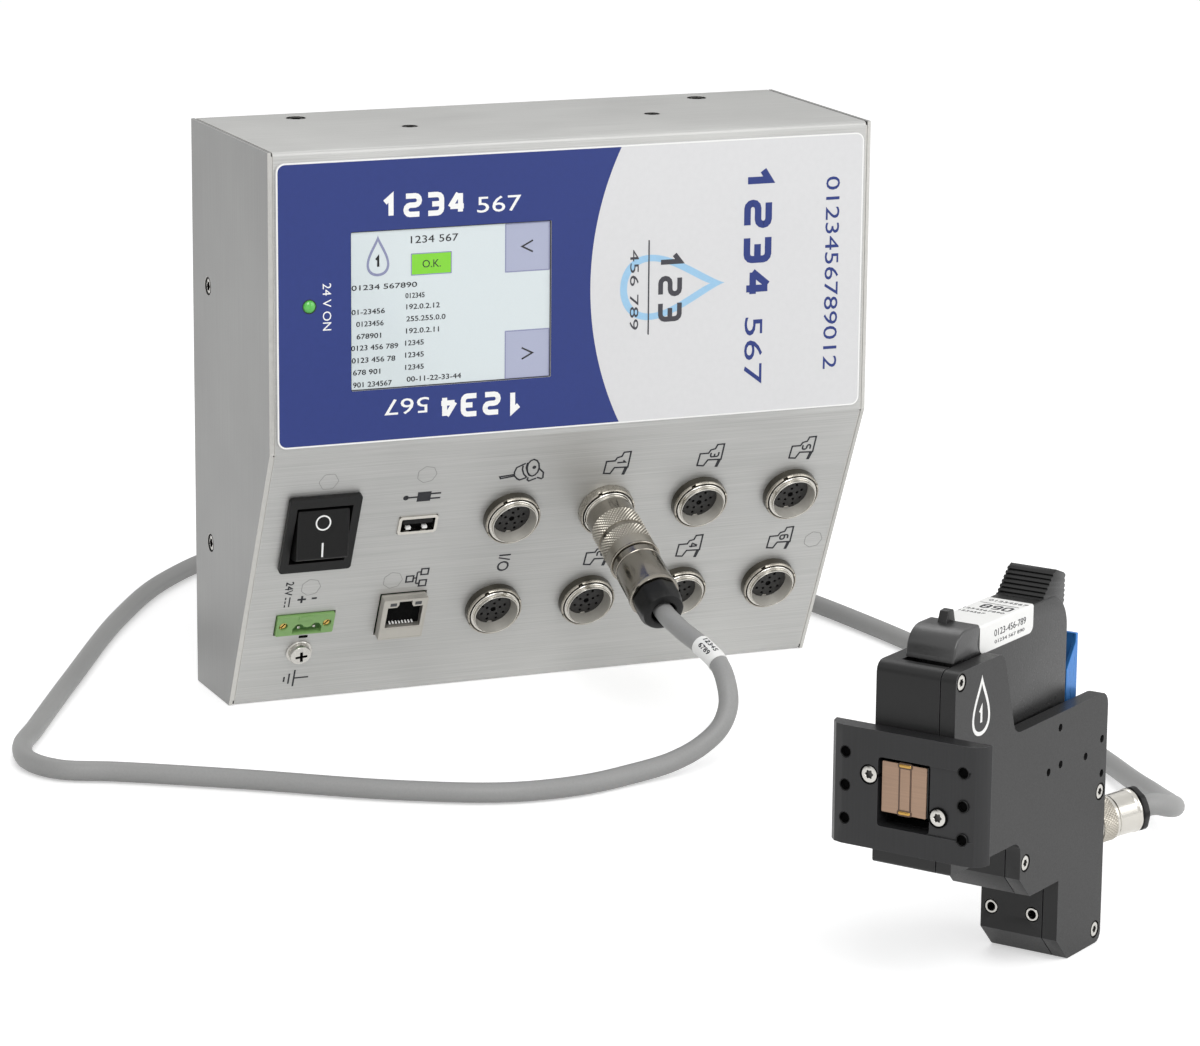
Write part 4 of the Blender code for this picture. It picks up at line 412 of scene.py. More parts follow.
def refined(node, finish, edge, width, front=False):
    """A copy of a CAD node with its triangles merged into flat faces, and a Bevel of that width on its edges,
    which gets the edge's finish, as its faces towards the front do where front is set."""
    mesh = NODES[node].data.copy()
    mesh.name = node + "_finished"
    mesh.materials.clear()
    mesh.materials.append(material(finish))
    mesh.materials.append(material(edge))
    merge(mesh, flatten=True)
    # Faces towards the front get the edge's finish too; on the side panels that is a lighter steel, a painted
    # highlight.
    if front:
        normals = np.empty(len(mesh.polygons) * 3)
        mesh.polygons.foreach_get("normal", normals)
        mesh.polygons.foreach_set("material_index", (normals[1::3] < -0.4).astype(np.int32))
    thing = piece(node + "_finished", mesh, NODES[node]["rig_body"], [node])
    bevel = thing.modifiers.new("round_edges", "BEVEL")
    bevel.width = width * MM
    bevel.segments = 2
    bevel.limit_method = "ANGLE"
    bevel.angle_limit = math.radians(40)
    bevel.harden_normals = True
    # The edge's finish goes on the bevel. Where it is lighter than the faces' finish it is a painted highlight,
    # on the anodising together with wear.
    bevel.material = 1


def show(finish, *nodes):
    """CAD nodes that stay as they are get their finish."""
    for node in nodes:
        data = NODES[node].data
        data.materials.clear()
        data.materials.append(material(finish))


# ---------------------------------------------------------------- sizes, colours and finishes


def linear(code):
    """A hex colour as linear numbers."""
    c = np.array([int(code[i : i + 2], 16) for i in (1, 3, 5)]) / 255
    return tuple(np.where(c <= 0.04045, c / 12.92, ((c + 0.055) / 1.055) ** 2.4).tolist())


def colour(name, code, description):
    return FloatVectorProperty(
        name=name, description=description, subtype="COLOR", size=3, min=0, max=1, default=linear(code)
    )


def length(name, millimetres, description):
    return FloatProperty(name=name, description=description, default=millimetres * MM, min=0, unit="LENGTH")


class PrinterColours(PropertyGroup):
    """Colours of the finishes."""

    steel: colour("Stainless steel", "#b8b8b6", "Brushed case of the controller")
    nickel: colour("Nickel", "#c8c5be", "Sockets, plugs and rings")
    black: colour("Black plastic", "#0e0e0e", "Switch and cartridge")
    anodised: colour("Black anodising", "#1c1c1c", "Body and side plate of the print head")
    blue: colour("Label blue", "#2f3d7c", "Left field of the front label")
    grey: colour("Label grey", "#d9d9da", "Right field of the front label")
    ink: colour("Printing ink", "#15161d", "Printing on the connector panel")
    cable: colour("Cable grey", "#939392", "Jacket of the cable")
    terminal: colour("Terminal green", "#7fa765", "Power terminal")
    latch: colour("Latch blue", "#3a7cc4", "Anodised latch of the print head")
    screen: colour("Screen", "#d6dfe1", "Bright ground of the display")
    button: colour("Screen button", "#a9aec6", "Arrow buttons of the display")
    ready: colour("Ready green", "#7ed321", "Status field of the display")
    copper: colour("Copper", "#9f836e", "Nozzle plate of the cartridge")


class PrinterSizes(PropertyGroup):
    """Sizes that can change without the frame."""

    cable_diameter: length("Cable diameter", 6.5, "Outside diameter of the cable")
    label_thickness: length("Label thickness", 0.5, "Thickness of the front label")
    print_thickness: length("Print thickness", 0.04, "Height of printed lines over their ground")
    edge_radius: length("Edge radius", 0.35, "Rounding of the machined edges")
    knurl_depth: length("Knurl depth", 0.5, "Depth of the coupling rings' knurl")
    knurl_count: IntProperty(name="Knurl count", description="Diamonds round a ring", default=42, min=12)


def size(name):
    """A size property in millimetres."""
    return getattr(bpy.context.scene.printer_sizes, name) / MM


# A finish: its colour, roughness at both ends of its grain, metal share, grain per metre (along each axis),
# spread of its colour, bump strength, gloss and coat
Look = namedtuple("Look", "colour rough metal grain spread bump gloss coat", defaults=(0.0, 0.5, 0.0))
SLOW_GRAIN = 18  # the grain per metre of every finish's slow noise

LOOKS = {
    "steel_across": Look("steel", (0.46, 0.58), 0.85, (26, 3600, 3600), 0.17, 0.08),
    # painted shade: a darker copy of the steel, so that the side panels look shaded
    "steel_upright_shaded": Look("#989897", (0.44, 0.56), 0.9, (3600, 3600, 26), 0.17, 0.08),
    # painted highlight: a lighter steel on the rounded edges, the front strips of the side panels and the seams
    "steel_edge_highlight": Look("#bfbeba", (0.38, 0.48), 1.0, 600, 0.06, 0.05),
    "inner_sheet": Look("#a8a8a6", (0.4, 0.5), 1.0, (40, 900, 900), 0.05, 0.1),
    "screw_steel": Look("#c4c2bd", (0.2, 0.34), 1.0, 700, 0.08, 0.06),
    "dark_steel": Look("#55534f", (0.3, 0.42), 1.0, 700, 0.1, 0.06),
    "nickel": Look("nickel", (0.18, 0.24), 1.0, 500, 0.03),
    # painted shade: a darker copy of the nickel, standing for the dark reflections on the front plug
    "nickel_shaded": Look("#928d84", (0.16, 0.22), 1.0, 500, 0.05),
    "nickel_satin": Look("#aaa59b", (0.26, 0.3), 1.0, 900, 0.02),
    "nickel_knurl": Look("#aca79d", (0.34, 0.38), 1.0, 900, 0.0),
    "nickel_shield": Look("#b3b0a9", (0.36, 0.42), 0.8, 900, 0.0),
    # painted light: a lighter, less metallic copy of the nickel, so that the sockets' bores look lit
    "nickel_bore_lit": Look("#cfccc5", (0.4, 0.46), 0.6, 900, 0.03),
    # painted shade: a dark copy of the nickel, on the outer wall of the socket nuts
    "nickel_side_shaded": Look("#57544d", (0.3, 0.36), 1.0, 900, 0.03),
    "gold": Look("#b8924f", (0.2, 0.3), 1.0, 600, 0.06, 0.03),
    "brass": Look("#cfae62", (0.25, 0.38), 1.0, 600, 0.1, 0.05),
    "copper": Look("copper", (0.35, 0.5), 0.35, (80, 80, 2500), 0.12, 0.1),
    "copper_dark": Look("#5a473b", (0.4, 0.55), 0.3, 900, 0.1, 0.05),
    "black_plastic": Look("black", (0.3, 0.42), 0.0, 1600, 0.2, 0.2, gloss=0.25),
    "cartridge_black": Look("black", (0.26, 0.36), 0.0, 1600, 0.15, 0.25, gloss=0.45),
    "hood_black": Look("#171717", (0.3, 0.4), 0.0, 1800, 0.15, 0.3, gloss=0.95),
    "black_matt": Look("#0d0d0e", (0.6, 0.75), 0.0, 1200, 0.15, 0.1, gloss=0.3),
    "socket_black": Look("#1b1a19", (0.45, 0.6), 0.0, 1200, 0.15, 0.05),
    # painted shade: near black for the shade in holes, slots, recesses and gaps
    "hole": Look("#030303", (0.8, 0.9), 0.0, 900, 0.1, gloss=0.1),
    # painted shade: grey for the shaded driver recesses of the head's screws
    "recess_shade_grey": Look("#4c4b49", (0.4, 0.5), 0.6, 900, 0.1, 0.02),
    "window_grey": Look("#3a3c3f", (0.4, 0.5), 0.0, 900, 0.06, 0.03),
    "anodised": Look("anodised", (0.36, 0.48), 0.0, 2200, 0.1, 0.06, gloss=0.36),
    "anodised_milled": Look("#232324", (0.32, 0.44), 0.0, (1500, 1500, 30), 0.2, 0.1, gloss=0.36),
    # lighter edges of the black anodising: partly wear, partly a painted highlight
    "anodised_edge_wear_and_highlight": Look("#4c4c4e", (0.3, 0.42), 0.3, 500, 0.35, 0.05),
    "latch": Look("latch", (0.25, 0.4), 0.55, (900, 900, 120), 0.08, 0.05),
    "white_print": Look("#f4f4f2", (0.5, 0.62), 0.0, 900, 0.03, 0.02),
    "ink": Look("ink", (0.5, 0.65), 0.0, 900, 0.15, 0.02),
    "outline_ink": Look("#8f8f8d", (0.45, 0.6), 0.3, 900, 0.1),
    "label_blue": Look("blue", (0.42, 0.52), 0.0, 500, 0.04, 0.03, gloss=0.3),
    "label_grey": Look("grey", (0.42, 0.52), 0.0, 500, 0.02, 0.03),
    "label_light_blue": Look("#9cc6e4", (0.45, 0.55), 0.0, 900, 0.04, 0.02),
    "label_dark": Look("#3a3940", (0.45, 0.55), 0.0, 900, 0.05, 0.02),
    "label_white": Look("#efefed", (0.35, 0.45), 0.0, 900, 0.02, 0.02),
    "screen": Look("screen", (0.12, 0.2), 0.0, 3000, 0.015, coat=0.2),
    "screen_button": Look("button", (0.12, 0.2), 0.0, 3000, 0.015, coat=0.2),
    "screen_ready": Look("ready", (0.12, 0.2), 0.0, 3000, 0.02, coat=0.2),
    "screen_line": Look("#8b8fae", (0.2, 0.3), 0.0, 3000, 0.02),
    "screen_text": Look("#131318", (0.2, 0.3), 0.0, 3000, 0.05),
    "screen_edge": Look("#22252c", (0.3, 0.4), 0.0, 900, 0.05),
    "led": Look("#53b848", (0.15, 0.25), 0.0, 700, 0.12, coat=0.5),
    "terminal": Look("terminal", (0.36, 0.48), 0.0, 800, 0.05, 0.04),
    "terminal_dark": Look("#5f8a50", (0.5, 0.6), 0.0, 800, 0.1, 0.04),
    "board": Look("#1f5a34", (0.35, 0.5), 0.0, 160, 0.25, 0.1),
    "cable": Look("cable", (0.42, 0.55), 0.0, 1400, 0.05, 0.06),
}


def new_material(name):
    """A new material and its node tree."""
    made = bpy.data.materials.new(name)
    made.use_nodes = True
    return made, made.node_tree


def add(tree, kind, **values):
    """A new shader node with those of its inputs set, whose names have _ for a space."""
    node = tree.nodes.new("ShaderNode" + kind)
    setting(node, **values)
    return node


def setting(node, **values):
    for name, value in values.items():
        node.inputs[name.replace("_", " ")].default_value = value


def material(name):
    """A finish's material. Fine noise, drawn out along its grain, and slow noise together pick the colour
    between darker and lighter, and the fine noise alone sets the roughness and the bump."""
    made = bpy.data.materials.get("finish_" + name)
    if made:
        return made
    look = LOOKS[name]
    colours = bpy.context.scene.printer_colours
    base = np.array(linear(look.colour) if look.colour[0] == "#" else getattr(colours, look.colour))
    made, tree = new_material("finish_" + name)
    link = tree.links.new
    shader = tree.nodes["Principled BSDF"]
    setting(shader, Metallic=look.metal, Specular_IOR_Level=look.gloss, Coat_Weight=look.coat)
    where = add(tree, "TexCoord")
    noises = []
    for grain, detail in ((look.grain, 3.0), (SLOW_GRAIN, 2.0)):
        mapping = add(tree, "Mapping", Scale=(np.ones(3) * grain).tolist())
        noise = add(tree, "TexNoise", Scale=1.0, Detail=detail)
        link(where.outputs["Object"], mapping.inputs["Vector"])
        link(mapping.outputs["Vector"], noise.inputs["Vector"])
        noises.append(noise.outputs["Fac"])
    both = add(tree, "Mix", Factor=0.35)
    link(noises[0], both.inputs["A"])
    link(noises[1], both.inputs["B"])
    ramp = add(tree, "ValToRGB")
    for stop, at, share in zip(ramp.color_ramp.elements, (0.3, 0.7), (1 - look.spread, 1 + look.spread)):
        stop.position = at
        stop.color = (*np.clip(base * share, 0, 1).tolist(), 1)
    link(both.outputs["Result"], ramp.inputs["Fac"])
    link(ramp.outputs["Color"], shader.inputs["Base Color"])
    rough = add(tree, "MapRange", From_Min=0.3, From_Max=0.7, To_Min=look.rough[0], To_Max=look.rough[1])
    link(noises[0], rough.inputs["Value"])
    link(rough.outputs["Result"], shader.inputs["Roughness"])
    if look.bump:
        bump = add(tree, "Bump", Strength=look.bump, Distance=0.1 * MM)
        link(noises[0], bump.inputs["Height"])
        link(bump.outputs["Normal"], shader.inputs["Normal"])
    return made


# ---------------------------------------------------------------- parts of like form


def tube(outer, inner, low, high, edge=0.25, segments=72, finish=0):
    """A ring: the closed profile of its wall, with chamfered rims, carried round the axis."""
    profile = [
        (inner, low), (outer, low), (outer, high - edge), (outer - edge, high),
        (inner + edge * 0.7, high), (inner, high - edge * 0.7),
    ]
    return lathe(profile, segments, closed=True, finish=finish)


def turned(corners, segments=72, finish=0):
    """A solid of revolution from its (radius, height) corners, its ends closed on the axis."""
    return lathe([(0.0, corners[0][1]), *corners, (0.0, corners[-1][1])], segments, finish=finish)


def wave(x):
    """A triangle wave: 0, 1, 0 over each whole number."""
    return 1 - np.abs(2 * (x % 1) - 1)


def knurled(radius, low, high, depth, count, pitch):
    """A diamond knurl on a grid of height h and angle, where t counts the diamonds round it:
    radius + depth * (min(wave(t + h / pitch), wave(t - h / pitch)) - 1). Its ends are turned down."""
    rows = max(6, int(round((high - low) / pitch * 4))) + 1
    h = np.linspace(low, high, rows)[:, None]
    t = np.arange(count * 4) / 4.0
    angle = t / count * TAU
    r = radius + depth * (np.minimum(wave(t + h / pitch), wave(t - h / pitch)) - 1)
    end = np.array([[radius - 1.6], [radius - depth - 0.1]])
    return grid(
        np.concatenate([polar(end, angle, low), polar(r, angle, h), polar(end[::-1], angle, high)]),
        along=True, finish=1,
    )


def recess(kind, size, segments):
    """The radius round a driver recess. A star is size (1 + 0.13 cos 6t), and the bars of a cross or a slot
    are the distance to their straight sides."""
    t = angles(segments)

    def bar(turn, half):
        across, along = np.abs(np.sin(t - turn)), np.abs(np.cos(t - turn))
        return np.minimum(size / np.maximum(along, 1e-3), half / np.maximum(across, 1e-3))

    if kind == "star":
        return size * (1 + 0.13 * np.cos(6 * t))
    if kind == "cross":
        return np.maximum(bar(0.12, size * 0.24), bar(0.12 + QUARTER, size * 0.24))
    return bar(0.9, size * 0.16)


def screw(radius, low, high, kind, size, depth, crown, cone=0.0, segments=96):
    """A screw head: rows of radii from the rim over the crown to the recess's edge, then down its wall.

    Each row is a circle or the recess's outline, and cone narrows the foot of a countersunk head.
    """
    driver = recess(kind, size, segments)
    ring = np.ones(segments)
    top = high + crown
    head = [
        (ring * (radius - cone), low), (ring * radius, high - 0.3), (ring * (radius - 0.12), high - 0.1),
        (ring * (radius - 0.35), high), (np.maximum(driver * 1.06, ring * size * 0.7), top),
        (driver, top - 0.06),
    ]
    well = [(driver, top - 0.06), (driver * 0.92, top - depth), (ring * 1e-4, top - depth - 0.1)]
    return [
        grid(np.array([polar(r, angles(segments), z) for r, z in rows]), finish=number)
        for number, rows in enumerate((head, well))
    ]


def gland_nut(radius, low, high, bore=4.2, flats=8):
    """A nut with flats: each row's radius is the lesser of its circle and the distance to the flats,
    and the rows round over into the bore."""
    segments = flats * 12
    half = math.pi / flats
    sides = math.cos(half) / np.cos(angles(segments) % (2 * half) - half)
    span = high - low
    rows = [
        (bore, low), (radius - 0.5, low), (radius, low + 0.5), (radius, low + span * 0.6),
        (radius - 0.25, low + span * 0.8), (radius - 1.0, low + span * 0.95), (radius - 2.0, high),
        (bore + 0.4, high), (bore, high - 0.4),
    ]
    shape = np.ones((len(rows), segments))
    shape[1:5] = np.minimum(sides * 1.03, 1.0)
    return [lathe(rows, segments, closed=True, shape=shape)]


def texts(rows, low, high):
    """Texts from (text, width, height, centre, turn, stroke, finish) rows, thin where the stroke is 0."""
    shapes = []
    for text, width, height, centre, turn, stroke, finish in rows:
        put = dict(low=low, high=high, finish=finish)
        if stroke:
            shapes += figures(text, width, height, centre, turn, stroke, **put)
        else:
            shapes.append(lettering(text, width, height, centre, turn, **put))
    return shapes


# ---------------------------------------------------------------- camera, floor and light

CAMERA_AT = (-567.8, -1445.8, 421.9)
CAMERA_TURNS = ((-22.83, "Z"), (76.57, "X"), (0.56, "Z"))
FOCAL_LENGTH = 137.64
SHIFT = -0.0113
# Each lamp's name, place, aim, size and power
LAMPS = (
    ("key", (-0.5, -2.0, 1.9), (0, -0.1, 0.05), 1.4, 30),
    ("fill", (1.7, -1.4, 1.1), (0, -0.2, 0.1), 1.5, 14),
    ("top", (0.2, 0.9, 1.9), (0, 0, 0.1), 1.0, 5.5),
)
# Each dark board's name, centre, and half its width and height
SHADES = (
    ("high_left", (-1.35, 1.05, 1.4), (0.75, 0.55)), ("back", (1.0, 2.3, 0.75), (0.9, 0.35)),
    ("low_left", (-2.2, -0.3, 0.5), (0.5, 0.5)),
)


def sheet(name, centre, side, up, made):
    """A flat sheet in metres: centre + a side + b up, for a and b from -1 to 1."""
    a, b = np.meshgrid(np.linspace(-1, 1, 3), np.linspace(-1, 1, 3), indexing="ij")
    points = np.array(centre) + a[..., None] * np.array(side) + b[..., None] * np.array(up)
    shape = grid(points, around=False)
    mesh = bpy.data.meshes.new(name)
    mesh.from_pydata(shape.points.tolist(), [], shape.faces[0].tolist())
    mesh.materials.append(made)
    return linked(name, mesh)


def seen(tree, other, direct):
    """A number that is `direct` for camera, glossy and transmission rays, and `other` for the rest."""
    path = add(tree, "LightPath")
    total = path.outputs["Is Camera Ray"]
    for ray in ("Is Glossy Ray", "Is Transmission Ray"):
        more = add(tree, "Math")
        more.operation = "MAXIMUM"
        tree.links.new(total, more.inputs[0])
        tree.links.new(path.outputs[ray], more.inputs[1])
        total = more.outputs[0]
    chosen = add(tree, "MapRange", To_Min=other, To_Max=direct)
    tree.links.new(total, chosen.inputs["Value"])
    return chosen.outputs["Result"]


class PRINTER_OT_stage(Operator):
    """Makes the camera, the floor, the white surroundings and the soft lamps"""

    bl_idname = "printer.stage"
    bl_label = "Stage"

    def execute(self, context):
        scene = context.scene
        scene.view_settings.view_transform = "Standard"
        lens = bpy.data.cameras.new("camera")
        lens.lens = FOCAL_LENGTH
        lens.shift_x = SHIFT
        lens.clip_start, lens.clip_end = 0.05, 50
        scene.camera = linked("camera", lens)
        matrix = Matrix.Translation(Vector(CAMERA_AT) * MM)
        for degrees, axis in CAMERA_TURNS:
            matrix = matrix @ Matrix.Rotation(math.radians(degrees), 4, axis)
        scene.camera.matrix_world = matrix
        self.surroundings(scene)
        self.floor()
        self.shades()
        for name, at, aim, width, power in LAMPS:
            light = bpy.data.lights.new(name, "AREA")
            light.energy = power
            light.size = width
            lamp = linked(name, light)
            lamp.location = at
            lamp.rotation_euler = (Vector(aim) - Vector(at)).to_track_quat("-Z", "Y").to_euler()
        return {"FINISHED"}

    def surroundings(self, scene):
        """White to the camera and to metal and glass, and a soft grey light on the rest."""
        scene.world = bpy.data.worlds.new("white_studio")
        scene.world.use_nodes = True
        tree = scene.world.node_tree
        background = tree.nodes["Background"]
        setting(background, Color=(1, 1, 1, 1))
        tree.links.new(seen(tree, other=0.55, direct=1.0), background.inputs["Strength"])

    def floor(self):
        """A pale floor that keeps the object's shadow, lifted to white for the camera."""
        made, tree = new_material("floor")
        tree.nodes.remove(tree.nodes["Principled BSDF"])
        ground = add(tree, "BsdfDiffuse", Color=(0.8, 0.8, 0.8, 1))
        glow = add(tree, "Emission", Color=(1, 1, 1, 1))
        tree.links.new(seen(tree, other=0.0, direct=0.45), glow.inputs["Strength"])
        both = add(tree, "AddShader")
        tree.links.new(ground.outputs[0], both.inputs[0])
        tree.links.new(glow.outputs[0], both.inputs[1])
        tree.links.new(both.outputs[0], tree.nodes["Material Output"].inputs["Surface"])
        sheet("floor", (0, 0, -0.0002), (4, 0, 0), (0, 4, 0), made)

    def shades(self):
        """Dark boards out of view, which only metal and gloss show, as dark streaks."""
        made, tree = new_material("shade")
        setting(tree.nodes["Principled BSDF"], Base_Color=(0.02, 0.02, 0.02, 1), Roughness=0.9)
        for name, centre, (half_width, half_height) in SHADES:
            out = unit(np.array([centre[0], centre[1], 0.0]))
            side = np.array([-out[1], out[0], 0.0])
            board = sheet("shade_" + name, centre, half_width * side, half_height * UP, made)
            board.visible_camera = board.visible_diffuse = False
            board.visible_shadow = board.visible_transmission = False


# ---------------------------------------------------------------- cable and plugs

# The cable's way in millimetres, from the front plug's nut to the rear plug's
CABLE_WAY = np.array([
    (17.5, -101.0, 40.7), (19.4, -110.5, 37.4), (21.6, -122.0, 34.6), (23.0, -131.8, 31.2),
    (22.8, -138.2, 26.6), (21.8, -142.4, 20.4), (18.0, -145.1, 14.2), (10.8, -146.2, 8.8),
    (0.2, -147.6, 5.0), (-16.0, -151.6, 3.6), (-36.0, -157.0, 3.5), (-60.0, -156.0, 3.5),
    (-91.0, -141.8, 3.5), (-134.3, -112.0, 3.5), (-168.0, -90.5, 3.5), (-184.3, -81.8, 3.5),
    (-190.8, -69.0, 3.5), (-188.6, -52.0, 3.5), (-178.5, -32.0, 3.5), (-150.0, 23.5, 3.5),
    (-111.0, 96.5, 3.5), (-80.0, 142.5, 3.5), (-45.0, 174.5, 3.5), (-5.0, 187.0, 3.5),
    (38.0, 180.0, 3.5), (78.0, 150.0, 3.5), (108.0, 101.0, 3.5), (127.0, 50.0, 3.5),
    (137.5, -11.0, 3.5), (141.8, -60.0, 3.5), (140.8, -104.1, 3.5), (137.1, -154.3, 3.5),
    (133.4, -191.7, 3.8), (126.4, -223.0, 6.4), (120.0, -245.0, 9.8), (112.3, -266.0, 14.0),
    (103.2, -286.0, 19.3), (94.4, -303.0, 24.2), (87.6, -316.3, 28.5), (80.5, -324.9, 31.8),
    (73.6, -328.6, 34.2),
])
FRONT_PORT = on_slope(124.2, 34.0)
FRONT_CABLE, FRONT_EXIT = 52.1, 57.0  # how far out of the front port the cable starts and shows
REAR_CABLE = 20.0  # how far out of the rear port it ends


def rear_port():
    """The place of the print head's port: its third axis is the way the plug points, right and up."""
    turn = Euler((math.radians(7 - 90), 0, math.radians(-28))).to_matrix()
    axes = np.array((Matrix(HEAD.axes.tolist()).transposed() @ turn).transposed())
    return Place(HEAD_ORIGIN + np.array([0, 90, 31.0]) @ HEAD.axes + 4.5 * axes[2], axes)


def cable_route():
    """A centripetal Catmull-Rom curve through the way: between two points it is a blend of blends,
    with knots at the square root of the distance. Returns about 8 points for each stretch."""
    rear = rear_port()
    start = (FRONT_PORT.origin + FRONT_CABLE * FRONT_PORT.axes[2])[None]
    end = (rear.origin + REAR_CABLE * rear.axes[2])[None]
    way = np.concatenate([start, CABLE_WAY, end])
    way = np.concatenate([2 * way[:1] - way[1:2], way, 2 * way[-1:] - way[-2:-1]])
    a, b, c, d = way[:-3, None], way[1:-2, None], way[2:-1, None], way[3:, None]

    def knot(p, q, at):
        return at + np.sqrt(np.linalg.norm(q - p, axis=2, keepdims=True))

    def mix(p, q, s0, s1):
        return (s1 - t) / (s1 - s0) * p + (t - s0) / (s1 - s0) * q

    t0 = np.zeros((len(a), 1, 1))
    t1 = knot(a, b, t0)
    t2 = knot(b, c, t1)
    t3 = knot(c, d, t2)
    t = t1 + (t2 - t1) * np.linspace(0, 1, 8, endpoint=False)[None, :, None]
    ab, bc, cd = mix(a, b, t0, t1), mix(b, c, t1, t2), mix(c, d, t2, t3)
    curve = mix(mix(ab, bc, t0, t2), mix(bc, cd, t1, t3), t1, t2)
    return np.concatenate([curve.reshape(-1, 3), end])


def plug(name, node, metal, body, port, ring, shell, nut):
    """A plug's turning ring, its barrel and its nut, for the CAD nodes of the same plug."""
    knurl = [metal, "nickel_knurl"]
    return [
        build(name + "_ring", ring, knurl, port, [node + "_coupling_ring"], body, 9.0),
        build(name + "_barrel", [turned(shell)], [metal], port, [node + "_shell"]),
        build(name + "_nut", nut, ["black_plastic"], port, [node + "_gland_nut"]),
    ]


class PRINTER_OT_cable(Operator):
    """Makes the cable along its way, its printed band and both plugs"""

    bl_idname = "printer.cable"
    bl_label = "Cable and plugs"

    def execute(self, context):
        path = cable_route()
        diameter = context.scene.printer_sizes.cable_diameter
        curve = bpy.data.curves.new("cable_jacket", "CURVE")
        curve.dimensions = "3D"
        curve.bevel_depth = diameter / 2
        curve.bevel_resolution = 6
        curve.use_fill_caps = True
        spline = curve.splines.new("POLY")
        spline.points.add(len(path) - 1)
        spline.points.foreach_set("co", np.column_stack([path * MM, np.ones(len(path))]).ravel())
        spline.use_smooth = True
        curve.materials.append(material("cable"))
        jacket = piece("cable_jacket", curve, "base", ["cable"])
        pieces = [self.band(path), *self.plugs(context.scene.printer_sizes.knurl_count)]
        return {"FINISHED"}

    def band(self, path, low=27.0, high=38.5, rows=24, segments=40):
        """A white sleeve with two rows of plain figures, on the cable past the plug.

        Its rings lie square on the path, from low to high along it, with the end ones turned in.
        """
        radius = size("cable_diameter") / 2
        far = np.concatenate([[0], np.cumsum(np.linalg.norm(np.diff(path, axis=0), axis=1))])
        at = np.linspace(low, high, rows)
        centre = np.stack([np.interp(at, far, path[:, k]) for k in range(3)], 1)
        along = unit(np.gradient(centre, axis=0))
        side = unit(np.cross(along, UP + 0 * along))
        over = np.cross(side, along)
        t = angles(segments)[None, :, None]
        ring = side[:, None] * np.cos(t) + over[:, None] * np.sin(t)
        inner = centre[[0, -1]][:, None] + ring[[0, -1]] * (radius - 0.1)
        outer = centre[:, None] + ring * (radius + 0.15)
        shapes = [grid(np.concatenate([inner[:1], outer, inner[1:]]), along=True)]
        axis = unit(centre[-1] - centre[0])
        row = (rows - 1) // 2
        for text, turn in (("12345", 1.5), ("6789", 0.7)):
            mark = bolder(lettering(text, len(text) * 1.5, 1.6, (0, 0), 90), 0.06)
            angle = turn - mark.points[:, 0] / radius
            out = side[row] * np.cos(angle)[:, None] + over[row] * np.sin(angle)[:, None]
            lift = (radius + 0.17 + mark.points[:, 2])[:, None]
            shapes.append(Shape(centre[row] + mark.points[:, 1:2] * axis + out * lift, mark.faces, 1))
        return build("cable_band", shapes, ["label_white", "ink"])

    def plugs(self, count):
        depth = size("knurl_depth")
        ring = [
            tube(7.6, 6.6, 2.3, 6.2, 0.3), tube(8.25, 7.0, 5.0, 11.0, 0.5),
            knurled(8.85, 10.9, 17.5, depth, count, 1.32), tube(8.25, 7.2, 17.4, 19.6, 0.1),
            knurled(8.85, 19.5, 25.0, depth, count, 1.32), tube(8.6, 7.2, 24.9, 29.4, 0.2, finish=1),
            tube(8.85, 7.2, 29.3, 30.0, 0.2),
        ]
        shell = [
            (7.0, 10.0), (7.2, 30.0), (8.0, 30.2), (8.25, 30.5), (8.25, 33.0), (8.1, 33.2), (8.1, 33.6),
            (8.25, 33.9), (8.3, 45.6), (8.62, 46.0), (8.68, 46.6), (8.68, 47.8), (8.4, 48.4), (6.0, 48.5),
        ]
        nut = gland_nut(7.9, 48.4, 57.0)
        # The front plug is in the darker nickel, painted shade for its dark reflections.
        pieces = plug("front_plug", "front_plug", "nickel_shaded", "front_ring", FRONT_PORT, ring, shell, nut)
        ring = [
            tube(6.35, 5.6, 3.6, 4.9, 0.2), knurled(6.82, 4.8, 9.6, depth * 0.8, count, 1.1),
            tube(6.5, 5.6, 9.5, 10.5, 0.2),
        ]
        shell = [
            (5.4, 4.2), (5.5, 10.4), (6.1, 10.7), (6.3, 11.0), (6.35, 16.8), (6.55, 17.1), (6.6, 18.0),
            (6.4, 18.4), (5.0, 18.4),
        ]
        nut = gland_nut(6.8, 18.3, 21.2)
        return pieces + plug("rear_plug", "head_plug", "nickel", "head_ring", rear_port(), ring, shell, nut)


# ---------------------------------------------------------------- controller case


